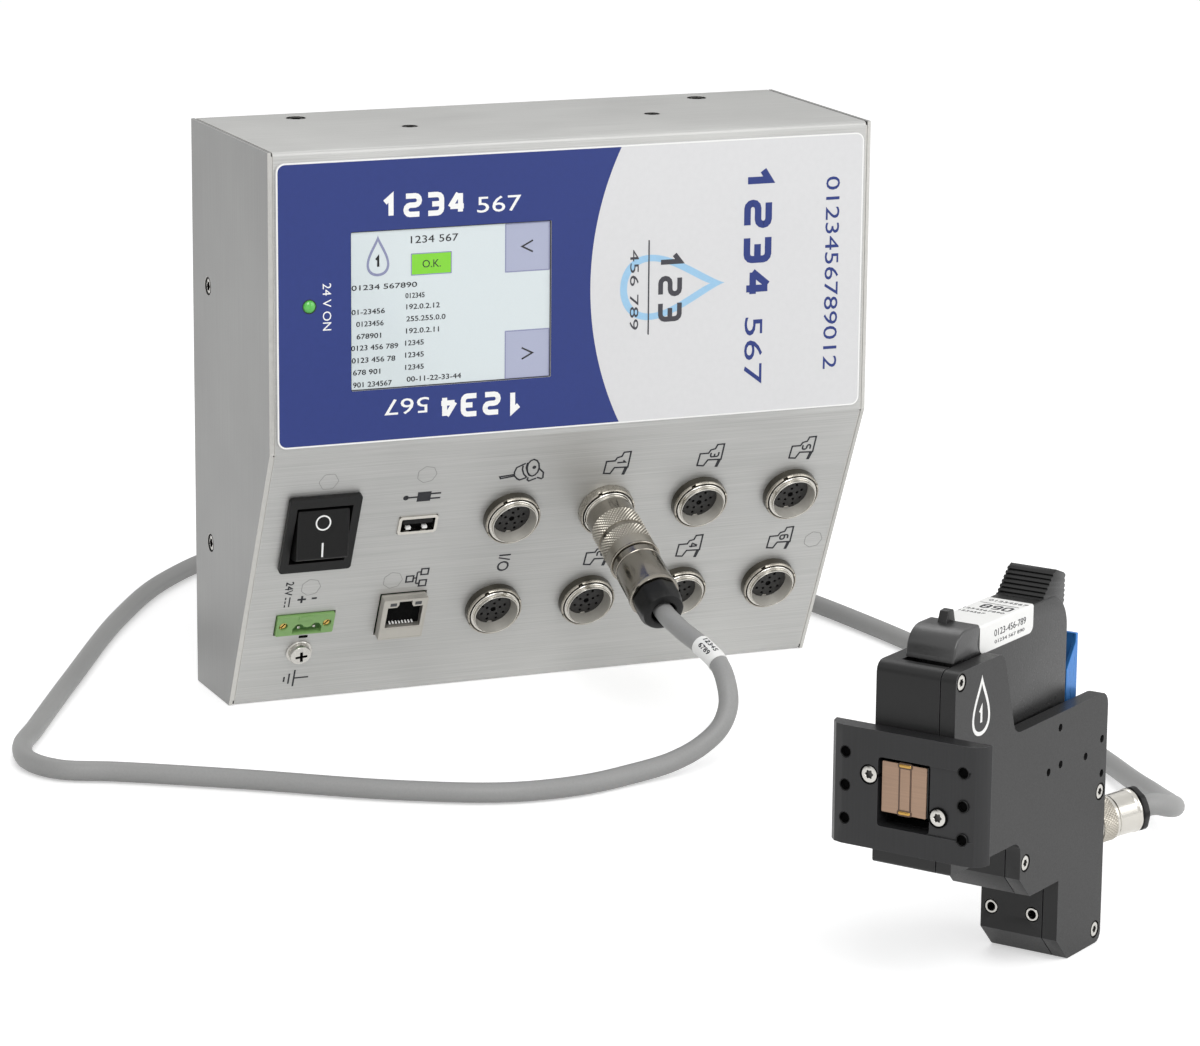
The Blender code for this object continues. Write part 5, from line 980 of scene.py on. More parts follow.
class PRINTER_OT_case(Operator):
    """Finishes the case: brushed cover and pan, their screws, and the parts inside"""

    bl_idname = "printer.case"
    bl_label = "Case"

    def execute(self, context):
        edge = size("edge_radius") * 0.5
        # Both sheets' bevelled edges get the lighter edge steel, a painted highlight.
        refined("front_cover", "steel_across", "steel_edge_highlight", edge)
        # The side panels are in a darker steel, painted shade, and their faces towards the front are in the
        # lighter edge steel, a painted highlight.
        refined("back_pan", "steel_upright_shaded", "steel_edge_highlight", edge, front=True)
        # Strips in the seams beside the cover, in the lighter edge steel: a painted highlight.
        seams = [
            settle(slab(rectangle(0.56, tall, 0.0, (x, middle)), -0.6, -0.2, 0, 0.02, 1), base)
            for x in (1.45, 212.55)
            for base, tall, middle in ((FRONT, 98.0, 145.0), (SLOPE, 104.0, -53.0))
        ]
        build("cover_seams", seams, ["steel_edge_highlight"])
        show("inner_sheet", "chassis", "display_bracket", "display_module")
        show("board", "connector_board", "control_board", "power_board")
        for side, x in (("left", 33.5), ("right", 180.5)):
            self.case_screw("top_screw_" + side, moved(TOP, x, 70.0), 3.3, "dark_steel")
        for side, x in (("left", 63.2), ("right", 150.8)):
            self.case_screw("bracket_screw_" + side, moved(TOP, x, 40.0), 2.6, "dark_steel")
        for side, base, y in (("left", LEFT, -64.0), ("right", RIGHT, 64.0)):
            for height, z in (("high", 141.0), ("low", 52.5)):
                self.case_screw(f"side_screw_{height}_{side}", moved(base, y, z), 3.0)
        return {"FINISHED"}

    def case_screw(self, node, base, radius, finish="screw_steel"):
        """A countersunk screw with a star recess, a little under the sheet."""
        # The recess is near black, and the ring in the gap round the head is black: both are painted shade.
        shapes = screw(radius - 0.25, -1.6, -0.25, "star", radius * 0.5, 1.2, crown=0.05, cone=1.3)
        shapes.append(tube(radius, radius - 0.3, -0.6, 0.01, 0.02, finish=2))
        build(node + "_head", shapes, [finish, "hole", "black_matt"], base, [node])


# ---------------------------------------------------------------- front label and display

SCREEN = (62.85, 141.9)  # the middle of the screen
LAMP = (13.6, 144.6)  # the middle of the power light
LABEL_UNDERSIDE = 0.3  # how far the label's underside is out of the front's place
# The label's texts: each with its width, height, centre, turn, stroke and finish
LABEL_TEXTS = (
    ("1234", 29.5, 7.8, (53.0, 175.9), 0, 1.75, 0), ("567", 15.5, 5.4, (79.3, 174.7), 0, 0, 0),
    ("1234", 29.5, 7.8, (73.0, 108.2), 180, 1.75, 0), ("567", 15.5, 5.4, (47.0, 109.4), 180, 0, 0),
    ("24 V ON", 15.5, 3.0, (19.6, 144.2), -90, 0, 0), ("1234", 45.0, 10.2, (172.4, 160.2), -90, 2.4, 2),
    ("567", 23.0, 6.8, (171.4, 119.4), -90, 0, 2), ("0123456789012", 66.0, 5.2, (200.0, 144.3), -90, 0, 2),
    ("123", 24.0, 8.6, (140.6, 143.5), -90, 1.7, 1), ("456 789", 27.0, 3.2, (127.6, 143.0), -90, 0, 1),
)
# The display's small figures: each text with its centre and width
DISPLAY_TEXTS = (
    ("01234 567890", (39.6, 149.6), 22.6), ("012345", (50.2, 146.0), 6.6), ("01-23456", (34.0, 141.6), 11.4),
    ("192.0.2.12", (53.0, 142.3), 11.6), ("0123456", (34.6, 137.6), 9.4), ("255.255.0.0", (54.0, 138.3), 13.6),
    ("678901", (34.2, 133.5), 8.4), ("192.0.2.11", (52.8, 134.3), 11.4), ("0123 456 789", (36.2, 129.7), 16.2),
    ("12345", (50.0, 130.3), 6.4), ("0123 456 78", (35.8, 125.6), 15.0), ("12345", (50.0, 126.3), 6.4),
    ("678 901", (33.4, 121.6), 9.4), ("12345", (50.0, 122.2), 6.4), ("901 234567", (35.4, 117.5), 13.4),
    ("00-11-22-33-44", (56.8, 118.2), 19.0),
)


class PRINTER_OT_label(Operator):
    """Makes the front label with its printing, and the status lamp"""

    bl_idname = "printer.label"
    bl_label = "Front label"

    def execute(self, context):
        top = LABEL_UNDERSIDE + size("label_thickness")
        low, high = top - 0.05, top + 0.03
        outer = rectangle(208.8, 93.8, 3.0, (106.9, 144.9))
        holes = [rectangle(70.1, 52.6, 0.6, SCREEN)[::-1], circle(2.2, 40, LAMP)[::-1]]
        ground = flat([outer, *holes], 0.02, top - 0.04)
        rim = line(inset(outer, 0.3), 0.42, top - 0.06, top - 0.01, closed=True, finish=1)
        build("label_sheet", [ground, rim], ["label_grey", "white_print"], FRONT, ["front_label"])
        field = flat([self.blue_field(), *holes], top - 0.2, top)
        build("label_field", [field], ["label_blue"], FRONT)
        marks = texts(LABEL_TEXTS, low, high)
        marks.append(flat(ink_drop(38.0, (141.5, 143.5), -90), low, high - 0.02, finish=3))
        marks.append(flat([rectangle(0.5, 32.0, 0.2, (132.8, 143.5))], low, high, finish=1))
        inks = ["white_print", "label_dark", "label_blue", "label_light_blue"]
        build("label_printing", marks, inks, FRONT, sharp=1.0)
        dome = [(2.1, -1.0), (2.15, 0.4), (2.05, 0.9), (1.7, 1.3), (1.1, 1.6), (0.5, 1.75), (0.02, 1.8)]
        shapes = [turned(dome, 40), tube(2.5, 2.1, LABEL_UNDERSIDE, high, 0.1, finish=1)]
        finishes = ["led", "screen_edge"]
        build("status_lamp", shapes, finishes, moved(FRONT, *LAMP), ["status_led"])
        return {"FINISHED"}

    def blue_field(self, low=98.6, high=191.2):
        """The left field's outline: the sheet's left edges, and an arc about a point right of the middle."""
        centre, radius = np.array([217.3, 144.8]), 105.5
        z = np.linspace(high, low, 60)
        x = centre[0] - np.sqrt(radius**2 - (z - centre[1]) ** 2)
        left = softened([(3.1, low, 2.4), (30, low, 0), (30, high, 0), (3.1, high, 2.4)])
        outline = np.concatenate([left[left[:, 0] < 29], np.column_stack([x, z])])
        return outline[np.argsort(np.arctan2(outline[:, 1] - 145, outline[:, 0] - 60))]


class PRINTER_OT_display(Operator):
    """Makes the display: its bright ground, its buttons and its plain figures"""

    bl_idname = "printer.display"
    bl_label = "Display"

    def execute(self, context):
        names = ["screen", "screen_button", "screen_line", "screen_ready", "screen_text", "screen_edge"]
        ground, button, edge, ready, text, rim = range(6)
        shapes = [
            slab(rectangle(73.5, 56.0, 0.5, SCREEN), -1.75, 0.08, 0, 0.1, finish=ground),
            line(rectangle(70.1, 52.6, 0.6, SCREEN), 0.7, 0.0, 0.16, closed=True, finish=rim),
        ]
        for z, way in ((159.7, 1), (123.9, -1)):
            chevron = np.array([(1.9, 1.9), (-1.9, 0.0), (1.9, -1.9)]) * (way, 1) + (89.6, z + 0.2)
            shapes += [
                slab(rectangle(15.9, 16.4, 0.2, (89.6, z)), 0.0, 0.13, 0, 0.02, 1, finish=button),
                line(rectangle(15.4, 15.9, 0.2, (89.6, z)), 0.35, 0.0, 0.15, closed=True, finish=edge),
                line(chevron, 0.55, 0.0, 0.16, finish=text),
            ]
        shapes += [
            slab(rectangle(14.1, 7.2, 0.1, (55.9, 156.2)), 0.0, 0.13, 0, 0.02, 1, finish=ready),
            line(rectangle(13.9, 7.0, 0.1, (55.9, 156.2)), 0.3, 0.0, 0.15, closed=True, finish=edge),
            lettering("O.K.", 6.4, 2.6, (56.0, 156.2), low=0.0, high=0.16, finish=text),
            lettering("1234 567", 16.5, 2.5, (57.0, 164.4), low=0.0, high=0.15, finish=text),
        ]
        for small, centre, width in DISPLAY_TEXTS:
            shapes.append(bolder(lettering(small, width, 1.75, centre, low=0.0, high=0.15, finish=text), 0.03))
        shapes.append(flat(ink_drop(13.5, (37.4, 159.8)), 0.0, 0.14, edge))
        shapes += figures("1", 2.4, 4.0, (37.4, 157.8), 0, 0.8, 0.0, 0.16, text)
        build("display_face", shapes, names, FRONT, ["display_glass"], sharp=1.0)
        return {"FINISHED"}


# ---------------------------------------------------------------- connector panel

COLUMNS = (89.8, 124.2, 158.6, 193.0)
ROWS = (34.0, 73.4)
# The open sockets, and the numbers printed over the numbered ones, with their columns and rows
SOCKETS = (
    ("encoder_socket", 0, 0), ("socket_3", 2, 0), ("socket_5", 3, 0),
    ("io_socket", 0, 1), ("socket_2", 1, 1), ("socket_4", 2, 1), ("socket_6", 3, 1),
)
NUMBERS = (("1", 1, 0), ("3", 2, 0), ("5", 3, 0), ("2", 1, 1), ("4", 2, 1), ("6", 3, 1))
KEY_LEFT = ((0, -1, 0), (1, 0, 0), (0, 0, 1))  # the turn that brings a socket's key to its place
ROCKER_RISE = (6.5 - 1.4) / (40.3 - 23.8)  # how steeply the rocker's face rises down the slope


class PRINTER_OT_sockets(Operator):
    """Makes the round sockets, with their nuts, threaded shells and pin inserts"""

    bl_idname = "printer.sockets"
    bl_label = "Round sockets"

    def execute(self, context):
        finishes = ["nickel_satin", "nickel", "socket_black", "hole", "nickel_side_shaded", "nickel_bore_lit"]
        for node, column, row in SOCKETS:
            base = moved(on_slope(COLUMNS[column], ROWS[row]), 0, 0, 0, KEY_LEFT)
            build(node + "_face", self.socket(), finishes, base, [node])
        shapes = [self.nut(), self.barrel()[0]]
        build("socket_1_face", shapes, finishes[:2], FRONT_PORT, ["socket_1"])
        return {"FINISHED"}

    def nut(self, segments=144):
        """The ring nut: a chamfered wall whose top is notched, by 0.9 mm, at four even angles."""
        profile = [
            (9.15, 0.0), (9.6, 0.0), (9.75, 0.25), (9.75, 2.7), (9.6, 3.2), (9.5, 3.3), (9.2, 3.3), (9.15, 3.2),
        ]
        near = np.abs((angles(segments) * 4 / TAU + 0.2) % 1 - 0.5) * TAU / 4 < 0.07
        points = lathe(profile, segments, closed=True).points.reshape(len(profile), segments, 3)
        points[..., 2] -= np.where(near[None, :] & (points[..., 2] > 2.6), 0.9, 0.0)
        return grid(points, along=True)

    def barrel(self, rows=25):
        """The threaded barrel that stands in the nut, stepped outside and with a chamfered rim, and its bore.

        The bore's radius falls evenly from the rim to the floor, less 0.05 at every second row.
        """
        z = np.linspace(4.5, 0.2, rows)
        r = np.linspace(7.55, 6.6, rows) - 0.05 * (np.arange(rows) % 2)
        wall = [
            (8.0, 0.2), (8.0, 0.5), (8.75, 0.5), (8.75, 3.5), (8.6, 3.7), (8.05, 3.7), (7.95, 3.8), (7.95, 4.6),
            (7.85, 4.8), (7.65, 4.8), (7.56, 4.6), (7.56, 1.0),
        ]
        bore = [(7.56, 4.65), *zip(r, z), (6.0, 0.1)]
        # The bore is in the lighter nickel, painted light on the inner wall.
        return [lathe(wall, 96, closed=True, finish=1), lathe(bore, 96, finish=5)]

    def socket(self):
        """A nut, a barrel and a black insert with thirteen pin holes round a larger one, and a key."""
        ring = circle(6.75, 72)
        key = np.abs(np.arctan2(ring[:, 1], ring[:, 0])) < 0.16
        ring[key] *= 0.86
        middle = np.array([0.9, 0.4])
        pins = [circle(1.0, 20, middle)]
        for count, away, start in ((5, 2.5, 0.6), (8, 4.3, 0.39)):
            places = polar(away, angles(count) + start, 0.0)[:, :2] + middle
            pins += [circle(0.52, 14, point) for point in places]
        # A near-black disc under the insert, painted shade in the pin holes.
        floor = turned([(6.7, -0.2), (6.7, 0.15)], finish=3)
        face = flat([ring] + [pin[::-1] for pin in pins], 0.1, 0.6, finish=2)
        # The thin dark skin on the nut's outer wall is painted shade.
        return [self.nut(), tube(9.79, 9.5, 0.0, 2.6, 0.05, finish=4), *self.barrel(), floor, face]


class PRINTER_OT_switch(Operator):
    """Makes the power switch: its bezel and the tilted rocker with the on and off marks"""

    bl_idname = "printer.switch"
    bl_label = "Power switch"

    def execute(self, context):
        for node in ("switch_bezel", "rocker"):
            refined(node, "black_plastic", "black_plastic", 0.5)
        lean = math.atan(ROCKER_RISE)
        c, s = math.cos(lean), math.sin(lean)
        turn = ((1, 0, 0), (0, c, -s), (0, s, c))
        off = line(circle(2.45, 48), 0.5, -0.4, 0.1, closed=True)
        on = flat([rectangle(0.6, 5.0)], -0.4, 0.1)
        marks = []
        for mark, x, at in ((off, 21.6, 28.0), (on, 21.65, 37.2)):
            height = 1.4 + (at - 23.8) * ROCKER_RISE
            marks.append(settle(mark, moved(SLOPE, x, -at, height, turn)))
        build("rocker_marks", marks, ["white_print"], body="power_rocker")
        return {"FINISHED"}


class PRINTER_OT_data_ports(Operator):
    """Makes the network and bus sockets in the panel, with their contacts"""

    bl_idname = "printer.data_ports"
    bl_label = "Data ports"

    def execute(self, context):
        self.network()
        self.bus()
        return {"FINISHED"}

    def network(self):
        x0, x1, s0, s1 = 48.3, 64.2, 63.8, 81.0
        middle = ((x0 + x1) / 2, -(s0 + s1) / 2)
        outer = rectangle(x1 - x0, s1 - s0, 0.4, middle)
        opening = down([
            (50.1, 75.8), (62.6, 75.8), (62.6, 67.2), (59.2, 67.2), (58.6, 66.2), (58.6, 64.8), (53.9, 64.8),
            (53.9, 66.2), (53.3, 67.2), (50.1, 67.2),
        ])
        shapes = [
            flat([outer, opening[::-1]], 1.2, 3.4),
            slab(rectangle(x1 - x0 - 0.1, s1 - s0 - 0.1, 0.4, middle), 0.0, 1.25),
            # a near-black floor in the opening, painted shade
            slab(rectangle(12.9, 11.4, 0.1, (56.35, -70.3)), 1.2, 1.3, 0, 0.02, 1, finish=1),
            line(inset(outer, 0.3), 0.3, 3.3, 3.46, closed=True),
            flat([rectangle(15.3, 0.35, 0.1, (middle[0], -76.6))], 3.3, 3.46),
        ]
        for x in 52.2 + np.arange(8) * 1.14:
            shapes.append(flat([rectangle(0.5, 0.55, 0.1, (x, -74.9))], 1.3, 2.4, finish=4))
        for x in (51.9, 60.8):
            shapes.append(flat([rectangle(2.3, 1.3, 0.1, (x, -65.9))], 3.35, 3.45, finish=3))
        finishes = ["nickel_shield", "hole", "gold", "window_grey", "white_print"]
        build("network_socket", shapes, finishes, SLOPE, ["lan_socket"])

    def bus(self):
        centre = (56.5, -34.2)
        shapes = [
            flat([rectangle(13.9, 7.4, 1.3, centre), rectangle(11.9, 5.2, 0.5, centre)[::-1]], -2.0, 0.5),
            # a near-black back in the opening, painted shade
            slab(rectangle(13.0, 6.4, 1.0, centre), -3.2, -1.9, finish=1),
            slab(rectangle(10.4, 2.0, 0.1, (56.5, -32.9)), -2.0, 0.1, 0, 0.1, finish=2),
        ]
        for x in (53.4, 59.2):
            shapes.append(flat([rectangle(1.7, 1.0, 0.1, (x, -35.6))], -1.0, 0.25, finish=3))
        finishes = ["nickel", "hole", "black_matt", "white_print"]
        build("bus_socket", shapes, finishes, SLOPE, ["usb_socket"])


class PRINTER_OT_terminal(Operator):
    """Makes the green power terminal, its screws, and the earth screw"""

    bl_idname = "printer.terminal"
    bl_label = "Power terminal"

    def execute(self, context):
        x0, x1, s0, s1 = 12.1, 32.4, 69.0, 77.2
        screws = (("left", 14.5), ("right", 29.9))
        outer = rectangle(x1 - x0, s1 - s0, 0.5, ((x0 + x1) / 2, -(s0 + s1) / 2))
        cavity = np.concatenate([
            [(28.2, -76.6), (28.2, -74.2)], self.scallop(25.5) + (0.6, 0), [(23.0, -74.2)],
            self.scallop(20.1), [(17.9, -74.2), (17.9, -76.6)],
        ])
        holes = [circle(1.55, 32, (x, -73.1))[::-1] for _, x in screws]
        shapes = [
            flat([outer, cavity[::-1], *holes], -1.5, 1.0),
            slab(inset(outer, 0.2), -4.0, -1.2, finish=1),
            flat([rectangle(5.0, 1.6, 0.2, (22.2, -70.2))], 0.9, 1.25),
        ]
        for x in (20.1, 25.6):
            shapes.append(slab(rectangle(1.0, 1.0, 0.2, (x, -74.4)), -1.5, 0.6, 0, 0.3, finish=2))
        finishes = ["terminal", "terminal_dark", "nickel"]
        build("terminal_block", shapes, finishes, SLOPE, ["power_terminal"])
        for side, x in screws:
            # The slot is near black, painted shade.
            head = screw(1.4, -1.4, 0.4, "slot", 1.38, 0.7, crown=0.1)
            node = "terminal_screw_" + side
            build("terminal_head_" + side, head, ["brass", "hole"], on_slope(x, 73.1), [node])
        # The slit is a near-black sheet, painted shade.
        slit = slab(rectangle(3.2, 1.1, 0.3, (22.6, -79.0)), 0.0, 0.05, 0, 0.02)
        build("terminal_slit", [slit], ["hole"], SLOPE)
        # The cross recess is near black, painted shade.
        shapes = [tube(4.55, 2.0, 0.02, 0.8, 0.2), *screw(3.7, 0.75, 2.7, "cross", 2.1, 1.6, crown=0.6)]
        finishes = ["screw_steel", "hole"]
        build("earth_screw_head", shapes, finishes, on_slope(21.9, 85.3), ["earth_screw"])
        return {"FINISHED"}

    def scallop(self, x):
        """The upper half of a circle, without its ends."""
        return circle(1.7, 24, (x, -74.2))[1:12]


# The panel's printed signs, with their points across and down the slope. The two over each numbered
# socket are drawn for the third column, and the encoder's has True where a line closes.
HEAD_SIGN = (
    (155.3, 19.1), (155.5, 14.1), (158.6, 14.1), (159.2, 12.8), (160.8, 12.4), (161.3, 10.7), (163.8, 10.6),
    (163.8, 17.2), (158.9, 17.0), (157.7, 19.4),
)
TICK_SIGN = ((163.9, 17.2), (162.6, 17.2), (162.0, 20.3), (163.1, 20.4))
ENCODER_SIGN = (
    (((83.0, 16.9), (88.0, 16.4), (88.3, 17.0), (83.4, 17.7)), True),
    (((88.2, 16.4), (88.0, 15.4), (88.5, 13.5), (91.5, 12.0)), False),
    (((88.2, 16.9), (89.3, 18.2), (90.4, 18.9), (92.8, 18.1)), False),
    (((90.7, 12.9), (90.7, 14.5), (91.5, 16.5), (92.9, 18.1)), False),
    (((92.1, 11.8), (92.0, 13.9), (92.9, 16.1), (94.1, 17.6)), False),
    (((96.7, 14.3), (96.5, 16.1), (95.7, 17.3), (94.7, 17.7), (93.5, 17.1), (92.7, 15.7), (92.3, 13.9),
      (92.4, 12.2), (93.2, 11.0), (94.2, 10.6), (95.4, 11.2), (96.3, 12.5)), True),
    (((96.8, 14.7), (98.6, 16.5), (98.8, 18.7), (98.3, 19.1), (96.6, 18.4)), False),
    (((93.4, 18.1), (93.2, 19.1), (93.9, 19.7), (96.4, 18.7)), False),
)
# Straight lines with their widths: direct current, plus, minus, earth, network links and the plug
STRAIGHT_LINES = (
    (0.45, (15.5, 61.2), (15.5, 65.4)), (0.45, (14.0, 61.2), (14.0, 62.2)), (0.45, (14.0, 62.8), (14.0, 63.8)),
    (0.45, (14.0, 64.4), (14.0, 65.4)), (0.75, (18.3, 62.6), (21.3, 62.6)), (0.75, (19.8, 61.1), (19.8, 64.1)),
    (0.75, (23.3, 62.5), (25.1, 62.5)), (0.6, (21.8, 93.6), (21.8, 100.8)), (0.6, (22.0, 97.2), (27.0, 97.2)),
    (0.6, (20.0, 95.0), (20.0, 99.5)), (0.6, (18.3, 96.3), (18.3, 98.5)), (0.55, (58.7, 57.7), (59.9, 57.7)),
    (0.55, (59.9, 55.2), (59.9, 60.1)), (0.55, (59.9, 55.2), (61.3, 55.2)), (0.55, (59.9, 60.1), (61.3, 60.1)),
    (0.65, (50.6, 22.6), (54.8, 22.6)), (0.65, (59.4, 21.6), (62.9, 21.6)), (0.65, (59.4, 23.6), (62.9, 23.6)),
)
NETWORK_BOXES = ((57.5, 57.9), (62.5, 55.2), (62.4, 60.1))
PLUG_BODY = ((54.6, 20.6), (59.4, 20.6), (59.4, 24.6), (54.6, 24.6))
DOTS = ((0.7, (94.9, 14.0)), (1.0, (50.6, 22.6)))
# The faint outlines over the weld studs: places and numbers of sides
STUDS = ((22.2, 13, 6), (56.6, 13.3, 7), (22.3, 57.6, 7), (51.4, 57.8, 7), (207.1, 56.6, 7))


class PRINTER_OT_printing(Operator):
    """Prints the port numbers and signs on the connector panel"""

    bl_idname = "printer.printing"
    bl_label = "Panel printing"

    def execute(self, context):
        put = dict(low=-0.02, high=size("print_thickness"))
        ink = []
        for number, column, row in NUMBERS:
            shift = np.array([COLUMNS[column] - COLUMNS[2], -(ROWS[row] - ROWS[0])])
            ink.append(line(down(HEAD_SIGN) + shift, 0.6, **put, closed=True))
            ink.append(flat([down(TICK_SIGN) + shift], **put))
            ink += figures(number, 2.4, 3.5, (161.0 + shift[0], -14.9 + shift[1]), -90, 0.6, **put)
        ink += [line(down(part), 0.58, **put, closed=closed) for part, closed in ENCODER_SIGN]
        ink += [line(down(ends), width, **put) for width, *ends in STRAIGHT_LINES]
        ink += [line(rectangle(2.5, 2.5, 0, (x, -s)), 0.58, **put, closed=True) for x, s in NETWORK_BOXES]
        ink += [flat([circle(radius, 20, (x, -s))], **put) for radius, (x, s) in DOTS]
        ink.append(flat([down(PLUG_BODY)], **put))
        ink.append(bolder(lettering("I/O", 7.2, 4.3, (90.8, -54.5), -90, **put), 0.08))
        ink.append(bolder(lettering("24V", 5.8, 2.8, (14.7, -57.5), -90, **put), 0.08))
        build("panel_printing", ink, ["ink"], SLOPE, sharp=1.0)
        pale = []
        for x, s, sides in STUDS:
            corners = [(*point, 1.0) for point in circle(3.5, sides, (x, -s))]
            pale.append(line(softened(corners), 0.22, -0.02, 0.025, closed=True))
        build("stud_rings", pale, ["outline_ink"], SLOPE)
        return {"FINISHED"}


# ---------------------------------------------------------------- print head

SIDE_FACE = 12.25  # how far the side plate's face is from the head's middle
NOSE_FACE = 5.6  # how far the front plate's face stands out
# Screws in the side plate and in the front plate: across and up
SIDE_SCREWS = (("nose", 3.1, 96.2), ("rear", 86.8, 45.3), ("block", 42.8, 35.4), ("foot", 86.4, 4.2))
NOSE_SCREWS = (("left", -10.7, 68.9), ("right", 10.7, 60.3))
# The cartridge's texts, on its top and its side, with the same values as the label's
TOP_TEXTS = (
    ("01234567", 12.0, 1.7, (0.9, 49.4), 0, 0, 0), ("890", 9.6, 4.2, (1.0, 42.6), 0, 0.7, 0),
    ("1234567890", 12.6, 1.4, (-0.6, 38.2), 0, 0, 0), ("1234567", 8.0, 1.4, (-2.6, 35.0), 0, 0, 0),
)
SIDE_TEXTS = (
    ("0123-456-789", 18.0, 2.0, (38.8, 103.4), 0, 0, 0), ("01234 567 890", 17.0, 1.0, (38.6, 100.9), 0, 0, 0),
)


class PRINTER_OT_head(Operator):
    """Finishes the print head: body, side plate, front plate, screws, inserts and latch"""

    bl_idname = "printer.head"
    bl_label = "Print head"

    def execute(self, context):
        edge = size("edge_radius") * 0.6
        # The bevelled edges get the lighter edge finish, wear together with a painted highlight.
        refined("head_body", "anodised", "anodised_edge_wear_and_highlight", edge)
        refined("side_plate", "anodised", "anodised_edge_wear_and_highlight", edge)
        refined("front_plate", "anodised_milled", "anodised_edge_wear_and_highlight", edge)
        refined("latch", "latch", "latch", 0.3)
        show("screw_steel", "latch_pin", "latch_spring")
        show("black_matt", "contact_block")
        for name, v, w in SIDE_SCREWS:
            self.bolt("plate_screw_" + name, moved(HEAD_SIDE, v, w, SIDE_FACE), 2.2)
        for name, u, w in NOSE_SCREWS:
            self.bolt("front_screw_" + name, moved(HEAD_NOSE, u, w, NOSE_FACE), 2.45)
        for name, u in (("left", -2.4 - 6.55), ("right", -2.4 + 6.55)):
            base = moved(HEAD_NOSE, u, 13.4, -63.0)
            # Each bush's bore is closed by a near-black plug, painted shade.
            shapes = [tube(1.92, 1.3, -4.0, 0.05, 0.1), turned([(1.4, -4.0), (1.4, -2.2)], 32, finish=1)]
            build("foot_bush_" + name, shapes, ["screw_steel", "hole"], base, ["foot_insert_" + name])
        # Each well's floor is a near-black disc, painted shade.
        well = [tube(1.84, 1.5, -1.6, -0.12, 0.1, 32, finish=1), turned([(1.8, -2.2), (1.8, -1.5)], 32)]
        wells = [
            settle(shape, moved(HEAD_NOSE, u, w, NOSE_FACE))
            for u in (-18.15, 18.15) for w in (55.4, 64.75, 74.1) for shape in well
        ]
        build("plate_wells", wells, ["hole", "black_plastic"])
        shapes = [tube(7.6, 6.9, -1.0, 0.8, 0.2), tube(6.9, 5.2, 0.0, 3.4, 0.2)]
        build("rear_socket", shapes, ["nickel"], rear_port(), ["head_socket"])
        mark = [flat(ink_drop(17.0, (14.5, 87.4)), -0.02, 0.05)]
        mark += figures("1", 3.0, 5.2, (14.5, 84.6), 0, 1.1, -0.02, 0.05)
        build("head_mark", mark, ["white_print"], moved(HEAD_SIDE, 0, 0, SIDE_FACE), sharp=1.0)
        return {"FINISHED"}

    def bolt(self, node, base, radius):
        """A bright screw with a grey recess, in a black ring a little under the face: the grey recess and the
        black ring are painted shade.
        """
        shapes = screw(radius, -1.5, -0.05, "star", radius * 0.46, 0.9, crown=0.0)
        shapes.append(tube(radius + 0.35, radius, -1.5, 0.03, 0.02, finish=2))
        build(node + "_head", shapes, ["screw_steel", "recess_shade_grey", "hole"], base, [node])


def ribbed(start, end, count, depth):
    """Points from start to end along ribs: at share p of a rib the point lies depth * tooth(p) off the line,
    where tooth runs 0, 0, -1, -1, and the last rib ends on the line."""
    start, end = np.array(start), np.array(end)
    way = end - start
    out = np.array([-way[1], way[0]]) / np.linalg.norm(way)
    share = (np.arange(count)[:, None] + np.array([0.0, 0.45, 0.6, 0.85])).ravel() / count
    tooth = np.tile([0.0, 0.0, -1.0, -1.0], count)
    return start + way * share[:, None] + out * (depth * tooth)[:, None]


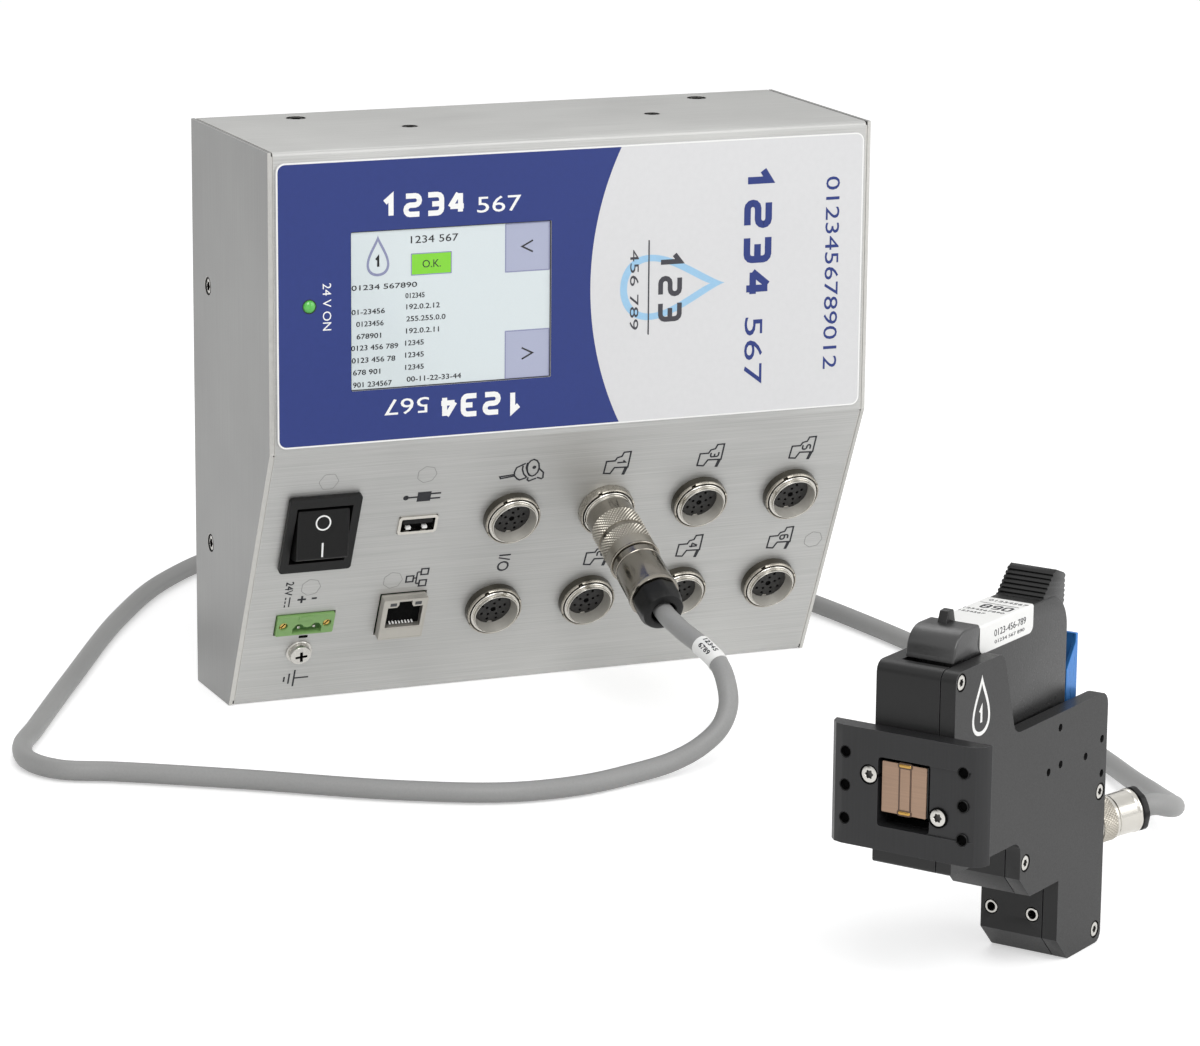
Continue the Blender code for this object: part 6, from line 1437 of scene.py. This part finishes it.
class PRINTER_OT_cartridge(Operator):
    """Finishes the ink cartridge, its ribbed grip, its label and its nozzle plate"""

    bl_idname = "printer.cartridge"
    bl_label = "Ink cartridge"

    def execute(self, context):
        body = softened([
            (-4.4, 59.0, 0.6), (-4.4, 73.4, 0.6), (6.7, 73.4, 0), (12.7, 99.7, 0), (8.6, 99.7, 0),
            (10.0, 104.0, 2), (16.5, 106.7, 5), (73.1, 106.8, 10.5), (73.1, 73.6, 3), (60.0, 48.7, 3),
            (6.7, 48.7, 1), (6.7, 59.0, 0),
        ], 12)
        hood = softened([
            (7.1, 99.7, 0), (7.2, 101.0, 1), (8.6, 107.9, 7), (21.6, 107.9, 1.2), (20.0, 102.0, 2.5),
            (21.8, 99.7, 0),
        ], 14)
        fin = softened([(15.8, 106.8, 0), (17.6, 111.0, 0.5), (20.2, 111.2, 0.5), (21.3, 107.0, 0)], 4)
        grip = np.concatenate([
            ribbed((57.6, 106.4), (64.9, 113.9), 7, 0.5), [(66.0, 113.9), (70.6, 112.2)],
            ribbed((71.5, 111.4), (71.2, 103.0), 6, 0.4), [(66.0, 100.0), (60.0, 104.0)],
        ])
        shapes = [
            slab(body, -7.2, 7.2, 0.5, 0.5, 4), slab(hood, -7.6, 7.6, 0.6, 0.6, 4, finish=1),
            slab(fin, -3.1, -0.1, 0.3, 0.3), slab(grip, -7.6, 6.9, 0.12, 0.12, 2),
        ]
        self.part("cartridge_shell", shapes, ["cartridge_black", "hood_black"], HEAD_SIDE, "black_plastic",
                  replaced=["cartridge"])
        self.label()
        self.nozzles()
        return {"FINISHED"}

    def part(self, name, shapes, finishes, base, slot, replaced=(), sharp=32.0):
        build(name, shapes, finishes, base, replaced, "ink_cartridge", sharp)

    def label(self, top=106.87, side=7.27, bend=0.57, corner=2.2, end=99.0):
        """A white label: one sheet that goes along the top, round a bend and down the right side.

        The bend is a quarter circle, and so are its two lower corners, where a height of
        corner * (1 - sin q) goes with a cut of corner * (1 - cos q).
        """
        t, q = np.linspace(0, QUARTER, 7), np.linspace(0, QUARTER, 9)
        arc = np.column_stack([side - bend + bend * np.sin(t), top - bend + bend * np.cos(t)])
        fall = end + corner - corner * np.sin(q)
        way = np.concatenate([[(-7.0, top)], arc, np.column_stack([np.full(9, side), fall])])
        out = np.concatenate([[(0, 1)], np.column_stack([np.sin(t), np.cos(t)]), np.tile((1.0, 0.0), (9, 1))])
        cut = np.concatenate([np.zeros(8), corner * (1 - np.cos(q))])
        edges = [(-52.2 + cut, 0.05), (-21.7 - cut, 0.05), (-21.7 - cut, -0.05), (-52.2 + cut, -0.05)]
        rows = np.stack([np.column_stack([way + out * lift, v]) for v, lift in edges], 1)
        self.part("cartridge_label", [grid(rows, caps=True)], ["label_white"], HEAD_NOSE, "label")
        marks = texts(TOP_TEXTS, -0.02, 0.1) + [line([(-6.0, 46.0), (6.0, 46.0)], 0.25, -0.02, 0.1)]
        self.part("cartridge_print_top", marks, ["ink"], moved(HEAD, 0, 0, top), "label", sharp=1.0)
        marks = texts(SIDE_TEXTS, -0.02, 0.1)
        self.part("cartridge_print_side", marks, ["ink"], moved(HEAD_SIDE, 0, 0, side), "label", sharp=1.0)

    def nozzles(self, face=5.1):
        """Copper plate with a raised middle strip and two gold beads."""
        low = face - 0.1
        shapes = [
            slab(rectangle(13.7, 14.2, 0.3, (0, 66.25)), face - 0.4, face, 0, 0.08),
            slab(rectangle(3.0, 12.4, 0.1, (0.3, 66.25)), low, face + 0.12, 0, 0.05, finish=1),
        ]
        for u in (-1.45, 2.05):
            shapes.append(slab(rectangle(0.4, 13.0, 0.1, (u, 66.25)), low, face + 0.14, 0, 0.05, finish=2))
        for w in (72.9, 59.7):
            shapes.append(slab(rectangle(4.6, 1.7, 0.8, (0.3, w)), low, face + 0.2, 0, 0.1, finish=2))
            shapes.append(slab(rectangle(3.8, 1.0, 0.5, (0.3, w)), low, face + 0.4, 0, 0.3, finish=3))
        finishes = ["copper", "copper", "copper_dark", "gold"]
        self.part("nozzle_face", shapes, finishes, HEAD_NOSE, "copper", replaced=["nozzle_plate"])


# ---------------------------------------------------------------- panel, registration and run

OPERATORS = (
    PRINTER_OT_stage, PRINTER_OT_cable, PRINTER_OT_case, PRINTER_OT_label, PRINTER_OT_display,
    PRINTER_OT_sockets, PRINTER_OT_switch, PRINTER_OT_data_ports, PRINTER_OT_terminal,
    PRINTER_OT_printing, PRINTER_OT_head, PRINTER_OT_cartridge,
)


class PRINTER_PT_looks(Panel):
    """Lists the printer's colours, sizes and operators"""

    bl_label = "Date code printer"
    bl_idname = "PRINTER_PT_looks"
    bl_space_type = "VIEW_3D"
    bl_region_type = "UI"
    bl_category = "Printer"

    def draw(self, context):
        for group in (context.scene.printer_colours, context.scene.printer_sizes):
            box = self.layout.box()
            for key in group.bl_rna.properties.keys():
                if key not in ("rna_type", "name"):
                    box.prop(group, key)
        for operator in OPERATORS:
            self.layout.operator(operator.bl_idname)


CLASSES = (PrinterColours, PrinterSizes, *OPERATORS, PRINTER_PT_looks)


def register():
    for one in CLASSES:
        bpy.utils.register_class(one)
    bpy.types.Scene.printer_colours = PointerProperty(type=PrinterColours)
    bpy.types.Scene.printer_sizes = PointerProperty(type=PrinterSizes)


def unregister():
    del bpy.types.Scene.printer_sizes
    del bpy.types.Scene.printer_colours
    for one in reversed(CLASSES):
        bpy.utils.unregister_class(one)


def main():
    register()
    for operator in OPERATORS:
        group, name = operator.bl_idname.split(".")
        getattr(getattr(bpy.ops, group), name)()


if __name__ == "__main__":
    main()
